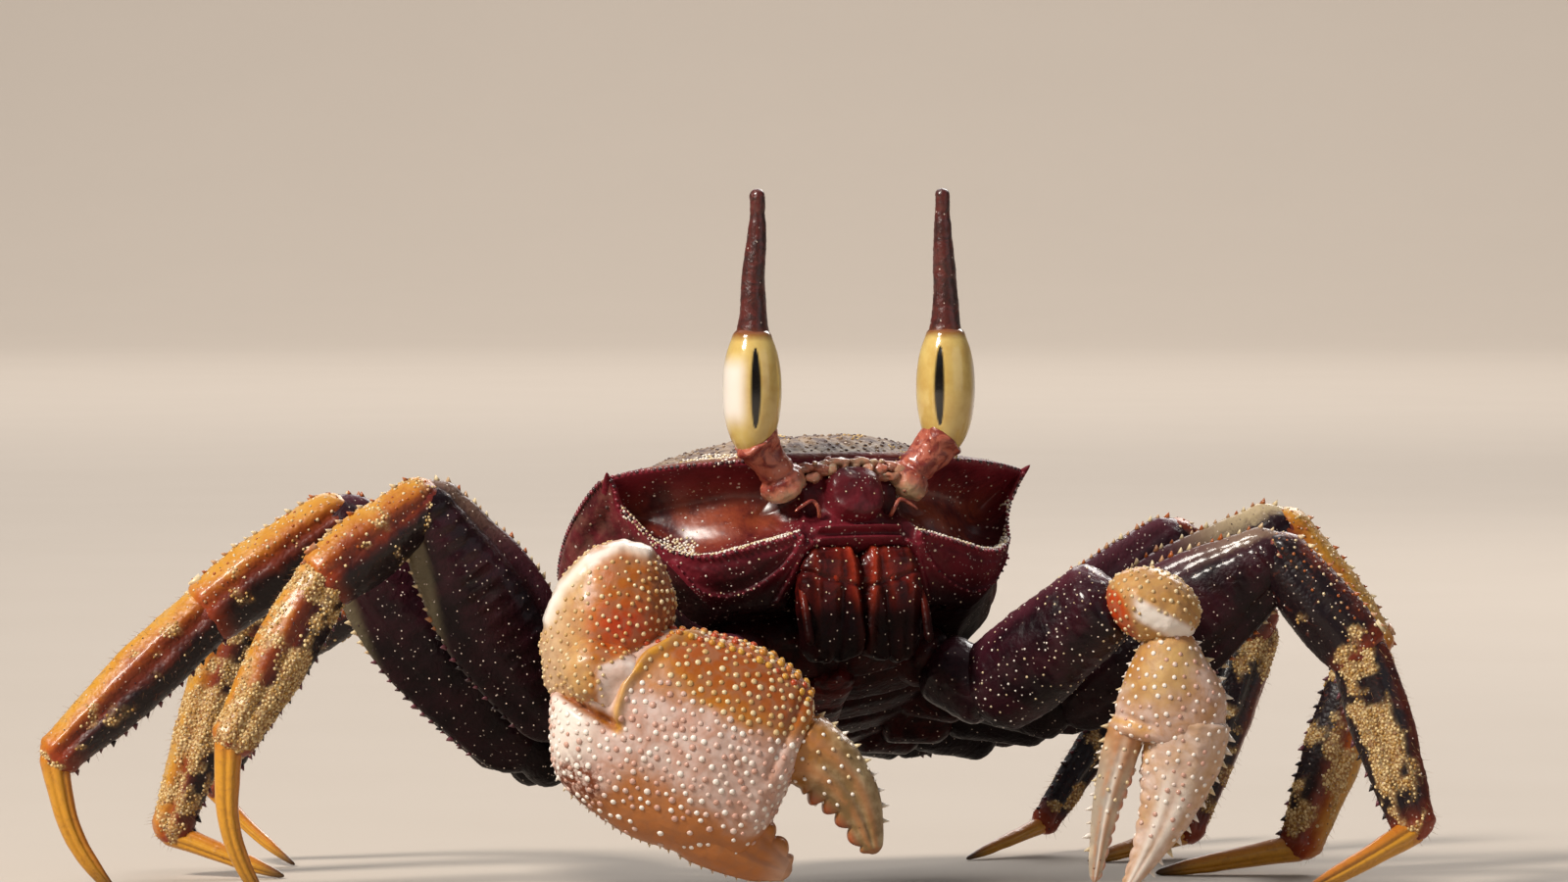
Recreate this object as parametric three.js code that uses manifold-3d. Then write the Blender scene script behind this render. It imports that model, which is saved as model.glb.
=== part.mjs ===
// A horned ghost crab, life size, standing with its front raised and one claw held before its mouth.
// Millimetres, +Z up. The crab faces -Y; its right side is -X. Z = 0 is the ground under its toes.

import * as THREE from 'three';
import { mergeVertices } from 'three/addons/utils/BufferGeometryUtils.js';
import Module from 'manifold-3d';

const wasm = await Module();
wasm.setup();

// ---------------------------------------------------------------- driving sizes

const GAP = 0.3;                 // clearance between neighbouring pieces
const DEG = Math.PI / 180;

// The shell, in its own frame: y forward is negative, and the whole shell is tipped front-up.
const SHELL = {
  rise: 33,                      // height of the shell's own origin above the ground
  tip: 27 * DEG,                 // how far the front is raised
  toothX: 25.2,                  // half breadth between the outer orbital teeth
  halfWidth: [[-16, 24.6], [-13, 25.2], [-7, 25.7], [0, 25.0], [7, 22.9], [14, 18.2], [20, 12.0]],
  frontMid: -20.6,               // front margin at the middle
  frontSweep: 7.2,               // how far the margin runs back at the teeth
  back: 20.5,                    // hind margin
  marginZ: [[-21, 5.2], [-14, 6.5], [-6, 5.6], [6, 3.6], [20, 0.5]],
  crown: 5.6,                    // dome above the side margins
  crownRun: 11,                  // how far behind the front margin it is fully risen
  floorZ: -9.5,                  // lower edge of the side walls
  lowerTuck: 0.2,                // how far the walls lean in towards that edge
  cheekTuck: 0.13,               // how sharply they lean in under the outer teeth
  cheekFrom: -1,                 // where that begins, and how far forward it is at its fullest
  cheekRun: 9,
  cheekDrop: 0.42,               // share of the wall's height over which it sets in
  wallUnder: 2,                  // how far the walls run below their lower edge before it is cut
  chinZ: -3,                     // below this the face falls back
  chinFall: 5.5,
  chinRun: 9,                    // height over which it falls
  orbitSweep: 4,                 // how far the orbits' outer edges run back below the teeth
  sweepTop: 6.2,                 // where that starts below the brow
  sweepRun: 3.2,                 // height over which it sets in, and below the chin dies away
  sweepFade: 6,
  hindBulge: 2.2,                // how far the hind wall swells out, about its own middle height
  hindZ: -3,
};

// How sharply the margin, the back's edge, the walls and the face turn: powers of the share across.
const TURN = { margin: 2.3, back: 2.4, wall: 0.6, side: 0.4, sweep: 4, hind: 3 };

const ROSTRUM = { centre: [0, -20.8, 2.0], reach: [2.9, 1.7, 3.0] };

// Rows of small spines: on the brow and below the orbits they run from the mid-plane's side outwards,
// on the flank from the front to the back.
const BROW = { count: 6, from: 8, to: 23.5, tall: 0.9, radius: 0.55, behind: 0.35, below: 0.1 };
const FLANK = { count: 7, from: -11.5, to: 4.1, tall: 1.0, radius: 0.6, inset: 0.2 };
const CHEEK = {
  count: 6, from: 9, to: 20, tall: 0.8, radius: 0.6, behind: 0.4, lowX: 15, lowZ: -5.6, rise: 0.016,
};
const TOOTH = { inset: 1.1, behind: 1.6, z: 6.1, length: 3.2, radius: 1.7 };

const ORBIT = {
  centre: [14.9, -21.4, 0.3],
  reach: [11.6, 7.4, 5.6],
  turn: 17 * DEG,                // outer end swept back with the margin
};

const STALK = { root: [6.6, -16.4, 43.2], neck: [11.2, -17.3, 49.2], radius: 2.0 };
const EYE = { centre: [11.5, -17.4, 54.6], reach: [3.1, 3.3, 7.2] };
const HORN = { root: [11.4, -17.5, 62.0], tip: [11.0, -17.7, 76.2], thick: 1.35, fine: 0.75 };

// Walking legs, front pair to hind pair: hip on the right-hand side of the mid-plane (mirrored for the
// other side), then lengths of ischium, merus, carpus, propodus and dactyl.
const ROWS = {
  p2: { hip: [19, -8, 21.5], lengths: [10, 29.5, 13.8, 20, 18.2], merus: [12.6, 6.0] },
  p3: { hip: [20, -1, 19], lengths: [10, 33.7, 17, 22.6, 16.6], merus: [12.6, 6.2] },
  p4: { hip: [19, 6, 17], lengths: [9.5, 33.5, 16, 25, 14], merus: [11.6, 6.0] },
  p5: { hip: [14, 12.5, 15.5], lengths: [7.5, 27.5, 12.6, 18.3, 13.3], merus: [8.2, 4.4] },
};

// Pose of each leg: heading (turned back from straight out), then the slope of each length; the
// dactyl's slope follows from the height of its joint, so every toe meets the ground. toeTurn swings
// a dactyl out of its leg's own plane.
const LEGS = [
  { name: 'right_p2', row: 'p2', side: -1, heading: 1, slopes: [-18, 55, -35, -58] },
  { name: 'right_p3', row: 'p3', side: -1, heading: 14, slopes: [-25, 50, -36, -43] },
  { name: 'right_p4', row: 'p4', side: -1, heading: 39, slopes: [-18, 51, -46, -72] },
  { name: 'right_p5', row: 'p5', side: -1, heading: 50, slopes: [-6, 34, -27, -61] },
  { name: 'left_p2', row: 'p2', side: 1, heading: -40, slopes: [-10, 34, -49, -72], toeTurn: 52 },
  { name: 'left_p3', row: 'p3', side: 1, heading: -17, slopes: [-4, 36, -55, -110] },
  { name: 'left_p4', row: 'p4', side: 1, heading: 10, slopes: [-7, 37, -41, -115] },
  { name: 'left_p5', row: 'p5', side: 1, heading: 21, slopes: [-8, 15, -26, -136] },
];

// The two claw arms: joints from hip to wrist, then the hand's heading and slope.
const ARMS = {
  right: {
    side: -1, joints: [[-12, -14, 25.5], [-16, -17.5, 22.5], [-30, -26.8, 30]],
    carpus: [[-30.7, -27.3, 35.4], [-34.3, -26.2, 24.4]],
    wrist: [-35, -28, 22.8], heading: -25, slope: -25,
    hand: {
      length: 22.6, depth: 11.5, top: [[-3.8, 0.2], [1.8, 8.2], [6.3, 10.9], [12.5, 12.1], [22.6, 9.8]],
      under: [[-3.8, -3.2], [-0.8, -8], [3.7, -10.4], [10.8, -11.2], [22.6, -9.6]],
    },
  },
  left: {
    side: 1, joints: [[12, -14, 24.5], [16.5, -18, 21.3], [24, -31, 32]],
    carpus: [[25.4, -33.5, 32.6], [30.2, -35.8, 30.2]],
    wrist: [29.6, -35.6, 28.4], heading: 180 - 25, slope: -74,
    hand: {
      length: 12, depth: 7, top: [[-1, 2], [2, 2.9], [6, 3.7], [12, 3.5]],
      under: [[-1, -2.2], [1.2, -3.8], [4.5, -7.2], [9, -8.3], [12, -8.5]],
    },
  },
};

// ---------------------------------------------------------------- finishes

const FINISHES = {
  shell: { color: 0x6b4a42, roughness: 0.5 },
  belly: { color: 0x3a1a1e, roughness: 0.45 },
  thigh: { color: 0x4a2430, roughness: 0.4 },
  shank: { color: 0xb5793a, roughness: 0.5 },
  toe: { color: 0xc99b45, roughness: 0.4 },
  claw: { color: 0xd9b493, roughness: 0.45 },
  finger: { color: 0xe2d6bd, roughness: 0.35 },
  stalk: { color: 0xa8746c, roughness: 0.4 },
  cornea: { color: 0xcbb98c, roughness: 0.12 },
  horn: { color: 0x5d2a22, roughness: 0.3 },
};

const materials = {};
for (const [name, finish] of Object.entries(FINISHES)) {
  materials[name] = new THREE.MeshStandardMaterial({ ...finish, metalness: 0 });
}

// ---------------------------------------------------------------- shaping helpers

const clamp01 = value => Math.min(1, Math.max(0, value));
const ease = value => clamp01(value) ** 2 * (3 - 2 * clamp01(value));
const signedPower = (value, power) => Math.sign(value) * Math.abs(value) ** power;
const vector = numbers => new THREE.Vector3(...numbers);

// The value at a place on a smooth curve through [place, value] stops.
function through(stops, place) {
  const last = stops.length - 1;
  const gradient = k => {
    const before = stops[Math.max(0, k - 1)];
    const after = stops[Math.min(last, k + 1)];
    return (after[1] - before[1]) / (after[0] - before[0]);
  };
  let i = 0;
  while (i < last - 1 && place > stops[i + 1][0]) i += 1;
  const span = stops[i + 1][0] - stops[i][0];
  const t = clamp01((place - stops[i][0]) / span);
  const start = (2 * t ** 3 - 3 * t ** 2 + 1) * stops[i][1] + (t ** 3 - 2 * t ** 2 + t) * span * gradient(i);
  const end = (3 * t ** 2 - 2 * t ** 3) * stops[i + 1][1] + (t ** 3 - t ** 2) * span * gradient(i + 1);
  return start + end;
}

// A closed geometry as a solid that can be joined and cut.
function solid(geometry) {
  geometry.deleteAttribute('normal');
  geometry.deleteAttribute('uv');
  const merged = mergeVertices(geometry, 1e-4);
  return new wasm.Manifold(new wasm.Mesh({
    numProp: 3,
    vertProperties: new Float32Array(merged.attributes.position.array),
    triVerts: new Uint32Array(merged.index.array),
  }));
}

// A sphere's grid laid over another form: place(point, row, angle) puts each of its points, with row
// running 0..1 from pole to pole and the angle turning right-handed about that direction.
function reshape(around, along, place) {
  const geometry = new THREE.SphereGeometry(1, around, along);
  const { position, uv } = geometry.attributes;
  const point = new THREE.Vector3();
  for (let i = 0; i < position.count; i += 1) {
    const row = Math.round((1 - uv.getY(i)) * along) / along;
    const column = Math.round(uv.getX(i) * around) % around;
    place(point, row, -2 * Math.PI * column / around);
    position.setXYZ(i, point.x, point.y, point.z);
  }
  return solid(geometry);
}

function ellipsoid(centre, reach, grow = 0, around = 14, along = 10) {
  return reshape(around, along, (point, row, angle) => {
    const ring = Math.sin(Math.PI * row);
    point.set(
      centre[0] + (reach[0] + grow) * ring * Math.cos(angle),
      centre[1] + (reach[1] + grow) * ring * Math.sin(angle),
      centre[2] - (reach[2] + grow) * Math.cos(Math.PI * row),
    );
  });
}

// A limb along +X. deep, wide and mid give the half depth (z), half width (y) and the middle's height
// at a place from 0 to 1 along its length; over lengthens it at both ends, to be cut at the joints.
function limb({
  length, deep, wide, mid = () => 0, over = [0, 0], grow = 0, around = 10, along = 8, keel = 1,
}) {
  return reshape(around, along, (point, row, angle) => {
    const step = clamp01((row * along - 1) / (along - 2));
    const reach = [-over[0] - grow, length + over[1] + grow];
    const x = reach[0] + (reach[1] - reach[0]) * step;
    const place = clamp01(x / length);
    const ring = row > 0 && row < 1 ? 1 : 0;
    point.set(
      x,
      ring * (wide(place) + grow) * signedPower(Math.cos(angle), keel),
      mid(place) + ring * (deep(place) + grow) * Math.sin(angle),
    );
  });
}

// A pointed spine with its root sunk into what it stands on.
function spine(at, way, length, radius, sides = 4) {
  const sunk = length * 0.4;
  const cone = new THREE.ConeGeometry(radius, length + sunk, sides);
  cone.translate(0, (length + sunk) / 2 - sunk, 0);
  const turn = new THREE.Quaternion().setFromUnitVectors(vector([0, 1, 0]), vector(way).normalize());
  cone.applyQuaternion(turn);
  cone.translate(...at);
  return solid(cone);
}

const joined = bodies => wasm.Manifold.union(bodies);
const largest = body => body.decompose().sort((a, b) => b.volume() - a.volume())[0];

// A straight stretch between two joints, turned about Z to its heading and raised to its slope.
function stretch(from, length, heading, slope) {
  const way = vector([
    Math.cos(slope) * Math.cos(heading), Math.cos(slope) * Math.sin(heading), Math.sin(slope),
  ]);
  const turn = new THREE.Euler(0, -slope, heading, 'ZYX');
  const frame = new THREE.Matrix4().makeRotationFromEuler(turn).setPosition(from);
  return { from, length, way, turn, frame, to: from.clone().addScaledVector(way, length) };
}

function stretchBetween(from, to) {
  const run = to.clone().sub(from);
  return stretch(from, run.length(), Math.atan2(run.y, run.x), Math.asin(run.z / run.length()));
}

// Cuts a body, held in a frame, at a plane through a point and keeps the side that the normal shows.
function cutAt(body, frame, point, normal) {
  const inverse = frame.clone().invert();
  const at = point.clone().applyMatrix4(inverse);
  const way = normal.clone().normalize().transformDirection(inverse);
  return body.trimByPlane(way.toArray(), way.dot(at) + GAP / 2);
}

const bend = (before, after) => before.way.clone().add(after.way);
const back = way => way.clone().negate();

// Ends a body at the joint between two stretches: a face halfway round the bend, and the sharp outer
// corner taken off at a height above the joint.
function endAtJoint(body, own, before, after, corner) {
  const start = own === after;
  const facing = bend(before, after);
  const cut = cutAt(body, own.frame, after.from, start ? facing : back(facing));
  const outward = before.way.clone().sub(after.way).normalize();
  return cutAt(cut, own.frame, after.from.clone().addScaledVector(outward, corner), back(outward));
}

// Flattens whatever would reach below the ground.
const onGround = (body, line) => cutAt(body, line.frame, vector([0, 0, -GAP / 2]), vector([0, 0, 1]));

function moved(body, from, to) {
  return body.transform(to.clone().invert().multiply(from).elements);
}

const crab = new THREE.Group();

function addPiece(name, body, finish, { parent = crab, from, turn } = {}) {
  const { vertProperties, triVerts } = largest(body).getMesh();
  const geometry = new THREE.BufferGeometry();
  geometry.setAttribute('position', new THREE.BufferAttribute(vertProperties, 3));
  geometry.setIndex(new THREE.BufferAttribute(triVerts, 1));
  geometry.computeVertexNormals();
  const mesh = new THREE.Mesh(geometry, materials[finish]);
  mesh.name = name;
  if (from) mesh.position.copy(from);
  if (turn) mesh.rotation.copy(turn);
  parent.add(mesh);
}

// ---------------------------------------------------------------- shell

const shellTurn = new THREE.Euler(-SHELL.tip, 0, 0);
const shellFrame = new THREE.Matrix4().makeRotationFromEuler(shellTurn).setPosition(0, 0, SHELL.rise);
const shellGroup = new THREE.Group();
shellGroup.position.set(0, 0, SHELL.rise);
shellGroup.rotation.copy(shellTurn);
crab.add(shellGroup);

const frontY = x => SHELL.frontMid + SHELL.frontSweep * Math.abs(x / SHELL.toothX) ** TURN.margin;

function faceY(x, z) {
  const level = ease((SHELL.sweepTop - z) / SHELL.sweepRun) * (1 - ease((SHELL.chinZ - z) / SHELL.sweepFade));
  const sweep = level * Math.abs(x / SHELL.toothX) ** TURN.sweep;
  return frontY(x) + SHELL.orbitSweep * sweep + SHELL.chinFall * ease((SHELL.chinZ - z) / SHELL.chinRun);
}

// The shell's outline where it is crossed at y: angle 0..180 is the back, 180..360 the walls below.
function shellOutline(y, angle) {
  const breadth = through(SHELL.halfWidth, y);
  const marginZ = through(SHELL.marginZ, y);
  const across = Math.cos(angle);
  const up = Math.sin(angle);
  if (up >= 0) {
    const x = breadth * across;
    const behindMargin = Math.sin(clamp01((y - frontY(x)) / SHELL.crownRun) * Math.PI / 2);
    const towardsBack = 1 - clamp01(y / SHELL.back) ** TURN.hind;
    const crown = SHELL.crown * behindMargin * towardsBack;
    return [x, marginZ + crown * (1 - Math.abs(across) ** TURN.back)];
  }
  const drop = Math.abs(up) ** TURN.wall;
  const forward = ease((SHELL.cheekFrom - y) / SHELL.cheekRun);
  const cheek = SHELL.cheekTuck * forward * Math.sin(clamp01(drop / SHELL.cheekDrop) * Math.PI / 2);
  const x = breadth * signedPower(across, TURN.side) * (1 - cheek - SHELL.lowerTuck * up ** 2 * (1 - cheek));
  return [x, marginZ - (marginZ - SHELL.floorZ + SHELL.wallUnder) * drop];
}

function shellRim(angle) {
  let y = SHELL.frontMid;
  for (let i = 0; i < 5; i += 1) {
    const [x, z] = shellOutline(y, angle);
    y = faceY(x, z);
  }
  return y;
}

function shellBlock() {
  const [faceRows, wallRows, hindRows] = [4, 8, 3];
  const rows = faceRows + wallRows + hindRows;
  return reshape(28, rows, (point, row, turn) => {
    const angle = -turn;
    const k = Math.round(row * rows);
    const rim = shellRim(angle);
    if (k <= faceRows) {
      const [x, z] = shellOutline(rim, angle);
      const share = k / faceRows;
      point.set(x * share, faceY(x * share, z * share), z * share);
      return;
    }
    const y = rim + (SHELL.back - rim) * clamp01((k - faceRows) / wallRows);
    const share = clamp01((rows - k) / hindRows);
    const [x, z] = shellOutline(y, angle);
    const { hindBulge, hindZ } = SHELL;
    point.set(x * share, y + hindBulge * (1 - share ** 2), hindZ + (z - hindZ) * share);
  });
}

function orbitBowl(side) {
  const [x, y, z] = ORBIT.centre;
  const geometry = new THREE.SphereGeometry(1, 14, 9);
  geometry.scale(...ORBIT.reach);
  geometry.rotateZ(side * ORBIT.turn);
  geometry.translate(side * x, y, z);
  return solid(geometry);
}

// Places from one to another, evenly spaced.
function spaced({ count, from, to }) {
  return Array.from({ length: count }, (_, i) => from + (to - from) * i / (count - 1));
}

// Spines of the brow, of the side margin behind the tooth, below one orbit, and the tooth itself.
function marginSpines(side) {
  const brow = spaced(BROW).map(x => {
    const y = frontY(x);
    const z = through(SHELL.marginZ, y) - BROW.below;
    return spine([side * x, y + BROW.behind, z], [0, -1, 0.35], BROW.tall, BROW.radius);
  });
  const flank = spaced(FLANK).map(y => {
    const x = side * (through(SHELL.halfWidth, y) - FLANK.inset);
    return spine([x, y, through(SHELL.marginZ, y)], [side, -0.5, 0.1], FLANK.tall, FLANK.radius);
  });
  const cheek = spaced(CHEEK).map(x => {
    const z = CHEEK.lowZ + CHEEK.rise * (x - CHEEK.lowX) ** 2;
    return spine([side * x, faceY(x, z) + CHEEK.behind, z], [0, -1, 0], CHEEK.tall, CHEEK.radius);
  });
  const tooth = spine(
    [side * (SHELL.toothX - TOOTH.inset), frontY(SHELL.toothX) + TOOTH.behind, TOOTH.z],
    [side * 0.3, -1, 0.1], TOOTH.length, TOOTH.radius, 5);
  return [...brow, ...flank, ...cheek, tooth];
}

// ---------------------------------------------------------------- eyes, mouthparts, feelers

const mirrored = (numbers, side) => [side * numbers[0], numbers[1], numbers[2]];

// A round bar between two points, thick at its root; it is held in its own stretch's frame.
function bar(from, to, thick, fine, grow = 0) {
  const line = stretchBetween(vector(from), vector(to));
  const rounding = t => Math.sqrt(1 - clamp01(Math.abs(t - 0.5) * 2 - 0.75) * 2);
  const radius = t => (thick + (fine - thick) * t) * rounding(t);
  const body = limb({ length: line.length, grow, around: 8, along: 8, deep: radius, wide: radius });
  return body.transform(line.frame.elements);
}

const stalkBody = (side, grow) => bar(
  mirrored(STALK.root, side), mirrored(STALK.neck, side), STALK.radius, STALK.radius * 1.15, grow);
const eyeBody = (side, grow) => ellipsoid(mirrored(EYE.centre, side), EYE.reach, grow);
const hornBody = side => bar(mirrored(HORN.root, side), mirrored(HORN.tip, side), HORN.thick, HORN.fine);

const MOUTH = { plate: [3.65, -17.1, -10.3], reach: [3.5, 1.8, 6.2], lean: 22 * DEG };

function mouthPlate(side, grow) {
  const geometry = new THREE.SphereGeometry(1, 12, 8);
  geometry.scale(...MOUTH.reach.map(half => half + grow));
  geometry.rotateX(MOUTH.lean);
  geometry.translate(...mirrored(MOUTH.plate, side));
  return solid(geometry);
}

const FEELER = { root: [5.2, -19.4, -1.3], tip: [8.6, -22.0, 0.4], thick: 1.0, fine: 0.3 };
const feelerBody = (side, grow) => bar(
  mirrored(FEELER.root, side), mirrored(FEELER.tip, side), FEELER.thick + grow, FEELER.fine + grow);

// ---------------------------------------------------------------- belly

const BELLY = { centre: [0, 3, -11.2], reach: [17, 16.5, 4.6], top: SHELL.floorZ - GAP };
const TAIL = { start: 18, length: 27, base: 8.8, tip: 2.6, thick: 0.9, bend: 19 };

// The folded tail: a thin jointed plate under the belly, broad behind and narrow in front.
function tailPlate(grow) {
  return reshape(12, 16, (point, row, angle) => {
    const step = clamp01((row * 16 - 1) / 14);
    const ring = row > 0 && row < 1 ? 1 : 0;
    const y = TAIL.start + grow - (TAIL.length + 2 * grow) * step;
    const ripple = 1 - 0.08 * (Math.round(step * 14) % 2);
    const half = (TAIL.base + (TAIL.tip - TAIL.base) * ease(step * 1.1)) * ripple + grow;
    const curve = 1 - ((y - BELLY.centre[1]) / TAIL.bend) ** 2;
    const sag = BELLY.centre[2] - BELLY.reach[2] * Math.sqrt(Math.max(0.1, curve));
    point.set(
      ring * half * signedPower(Math.cos(angle), 0.6),
      y,
      sag + ring * (TAIL.thick + grow) * Math.sin(angle),
    );
  });
}

// ---------------------------------------------------------------- walking legs

const hips = [];
const clearances = [];           // first lengths of every limb, GAP larger, that the body keeps clear of

function legStretches({ row, side, heading, slopes, toeTurn = 0 }) {
  const { hip, lengths, merus: girth } = ROWS[row];
  const turn = side > 0 ? heading * DEG : Math.PI - heading * DEG;
  const run = [];
  let from = vector(mirrored(hip, side));
  for (let i = 0; i < 4; i += 1) {
    run.push(stretch(from, lengths[i], turn, slopes[i] * DEG));
    from = run[i].to;
  }
  const tipReach = LIMBS.dactyl.deep.at(-1)[1] * girth[0] / 2;
  const lift = tipReach * Math.sqrt(1 - (from.z / lengths[4]) ** 2) - TOE_SINK;
  const toe = -Math.PI + Math.asin((from.z - lift) / lengths[4]);
  run.push(stretch(from, lengths[4], turn + toeTurn * DEG, toe));
  return run;
}

const TOE_SINK = 0.06;            // how much of a toe's tip the ground takes off
const TOE_BOW = 0.13;             // how far a toe bends outwards, more where it stands steep

// How far the outer corner of a joint stands above it, as a share of the merus's depth.
const CORNER = { knee: 0.28, wrist: 0.26, ankle: 0.18 };

// Small spines along the edges, and the larger one at the carpus's upper end.
const MERUS_UPPER = { count: 5, from: 0.25, to: 0.88, tall: 1.1 };
const MERUS_LOWER = { count: 5, from: 0.32, to: 0.92, tall: 1.2 };
const PROPODUS_LOWER = { count: 4, from: 0.2, to: 0.85, tall: 0.9 };
const SPUR = { place: 0.9, height: 0.22, length: 2.2, radius: 1.1 };

const LIMBS = {
  ischium: { deep: [[0, 0.56], [1, 0.64]], wide: [[0, 0.95], [1, 0.95]] },
  merus: { deep: [[0, 0.64], [0.35, 0.96], [0.62, 1], [1, 0.56]], wide: [[0, 0.85], [0.5, 1], [1, 0.85]] },
  carpus: { deep: [[0, 0.48], [0.6, 0.62], [1, 0.54]], wide: [[0, 0.85], [0.5, 1], [1, 0.85]] },
  propodus: { deep: [[0, 0.5], [0.4, 0.56], [1, 0.36]], wide: [[0, 0.75], [0.4, 0.8], [1, 0.62]] },
  dactyl: {
    deep: [[0, 0.27], [0.3, 0.24], [0.75, 0.16], [1, 0.06]], wide: [[0, 0.45], [0.5, 0.34], [1, 0.1]],
  },
};

// How far each segment is built past its two joints before it is cut there.
const OVER = { ischium: [1, 2], merus: [1, 5], carpus: [5, 3], propodus: [4, 4], dactyl: [3, 0] };

function limbBody(kind, length, [depth, width], over, options = {}) {
  const { deep, wide } = LIMBS[kind];
  return limb({
    length, over, keel: 1.15, around: 10, along: 7,
    deep: t => through(deep, t) * depth / 2,
    wide: t => through(wide, t) * width / 2,
    ...options,
  });
}

// Spines along the upper or lower edge of a limb, from one share of its length to another.
function edgeSpines(kind, length, [depth], edge, row) {
  return spaced(row).map(t => {
    const z = edge * (through(LIMBS[kind].deep, t) * depth / 2 - 0.15);
    return spine([t * length, 0, z], [0.5, 0, edge], row.tall, row.tall * 0.5);
  });
}

function addLeg(leg) {
  const [ischium, merus, carpus, propodus, dactyl] = legStretches(leg);
  const girth = ROWS[leg.row].merus;
  const [knee, wrist, ankle] = Object.values(CORNER).map(share => share * girth[0]);
  hips.push({ ischium, girth });

  const rootBody = grow => cutAt(
    limbBody('ischium', ischium.length, girth, OVER.ischium, { grow, around: 8, along: 4 }),
    ischium.frame, ischium.from, ischium.way);
  const root = rootBody(0);
  clearances.push(moved(rootBody(GAP), ischium.frame, shellFrame));
  const bladeRoom = limbBody('merus', merus.length, girth, [1, 0], { grow: GAP });
  clearances.push(moved(bladeRoom, merus.frame, shellFrame));
  let thigh = joined([
    moved(root, ischium.frame, merus.frame),
    limbBody('merus', merus.length, girth, OVER.merus),
    ...edgeSpines('merus', merus.length, girth, 1, MERUS_UPPER),
    ...edgeSpines('merus', merus.length, girth, -1, MERUS_LOWER),
  ]);
  thigh = endAtJoint(thigh, merus, merus, carpus, knee);
  addPiece(`leg_${leg.name}_merus`, thigh, 'thigh', merus);

  let shank = joined([
    limbBody('carpus', carpus.length, girth, OVER.carpus, { along: 6 }),
    spine([carpus.length * SPUR.place, 0, girth[0] * SPUR.height], [1, 0, 0.5], SPUR.length, SPUR.radius),
  ]);
  shank = endAtJoint(shank, carpus, merus, carpus, knee);
  shank = cutAt(shank, carpus.frame, carpus.to, back(bend(carpus, propodus)));
  addPiece(`leg_${leg.name}_carpus`, shank, 'shank', carpus);

  let shin = joined([
    limbBody('propodus', propodus.length, girth, OVER.propodus),
    ...edgeSpines('propodus', propodus.length, girth, -1, PROPODUS_LOWER),
  ]);
  shin = endAtJoint(shin, propodus, carpus, propodus, wrist);
  shin = endAtJoint(shin, propodus, propodus, dactyl, ankle);
  shin = onGround(shin, propodus);
  addPiece(`leg_${leg.name}_propodus`, shin, 'shank', propodus);

  const bow = TOE_BOW * dactyl.from.z ** 3 / dactyl.length ** 2;
  let toe = limbBody('dactyl', dactyl.length, girth, OVER.dactyl, { mid: t => bow * Math.sin(Math.PI * t) });
  toe = endAtJoint(toe, dactyl, propodus, dactyl, ankle);
  toe = onGround(toe, dactyl);
  addPiece(`leg_${leg.name}_dactyl`, toe, 'toe', dactyl);
}

// ---------------------------------------------------------------- claws

const ARM_GIRTH = {
  right: { base: 3.9, merus: 4.6, carpus: [6.6, 6.0] },
  left: { base: 3.9, merus: 5.2, carpus: [3.9, 4.4] },
};
const MERUS_WIDE = 4.2;           // half width of both arms' meri
const ARM_COXA = [10, 6.6];       // depth and width that the arms' first segments are shares of
const KNOB_REACH = 0.55;          // how far a knob reaches past its ends, as a share of its half depth
const BITE = { count: 4, from: 0.32, to: 0.77, tall: 0.9, fall: 0.08, radius: 0.75 };
const MARGIN = { count: 7, tall: 0.9, radius: 0.55 };     // spines along the hand's two margins

const FINGERS = {
  right: {
    hinge: [23.0, 0, 4.4], tip: [33.9, 0, -2.2], deep: [4.0, 0.8], wide: [3.4, 0.6], bow: 2.6,
    fixedRoot: [14, 0, -4.6], fixedTip: [26.6, 0, -7.9], fixedDeep: [4.6, 0.9], fixedBow: -0.9,
  },
  left: {
    hinge: [12, 0, 1.7], tip: [28, 0, 0.6], deep: [1.9, 0.45], wide: [1.8, 0.45], bow: 0.5,
    fixedRoot: [8.5, 0, -4.2], fixedTip: [28, 0, -2.8], fixedDeep: [4.4, 0.5], fixedBow: -1.2,
  },
};

function fingerBody(root, tip, deep, wide, bow) {
  const line = stretchBetween(vector(root), vector(tip));
  const depthAt = t => deep[0] + (deep[1] - deep[0]) * t ** 1.3;
  const midAt = t => bow * Math.sin(Math.PI * t);
  const body = limb({
    length: line.length, over: [2.5, 0], around: 8, along: 8,
    deep: depthAt, wide: t => wide[0] + (wide[1] - wide[0]) * t ** 1.2, mid: midAt,
  });
  const edge = -Math.sign(bow);
  const teeth = spaced(BITE).map((t, i) => {
    const z = midAt(t) + edge * (depthAt(t) - 0.2);
    return spine([t * line.length, 0, z], [0, 0, edge], BITE.tall - BITE.fall * i, BITE.radius);
  });
  return joined([body, ...teeth]).transform(line.frame.elements);
}

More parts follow.
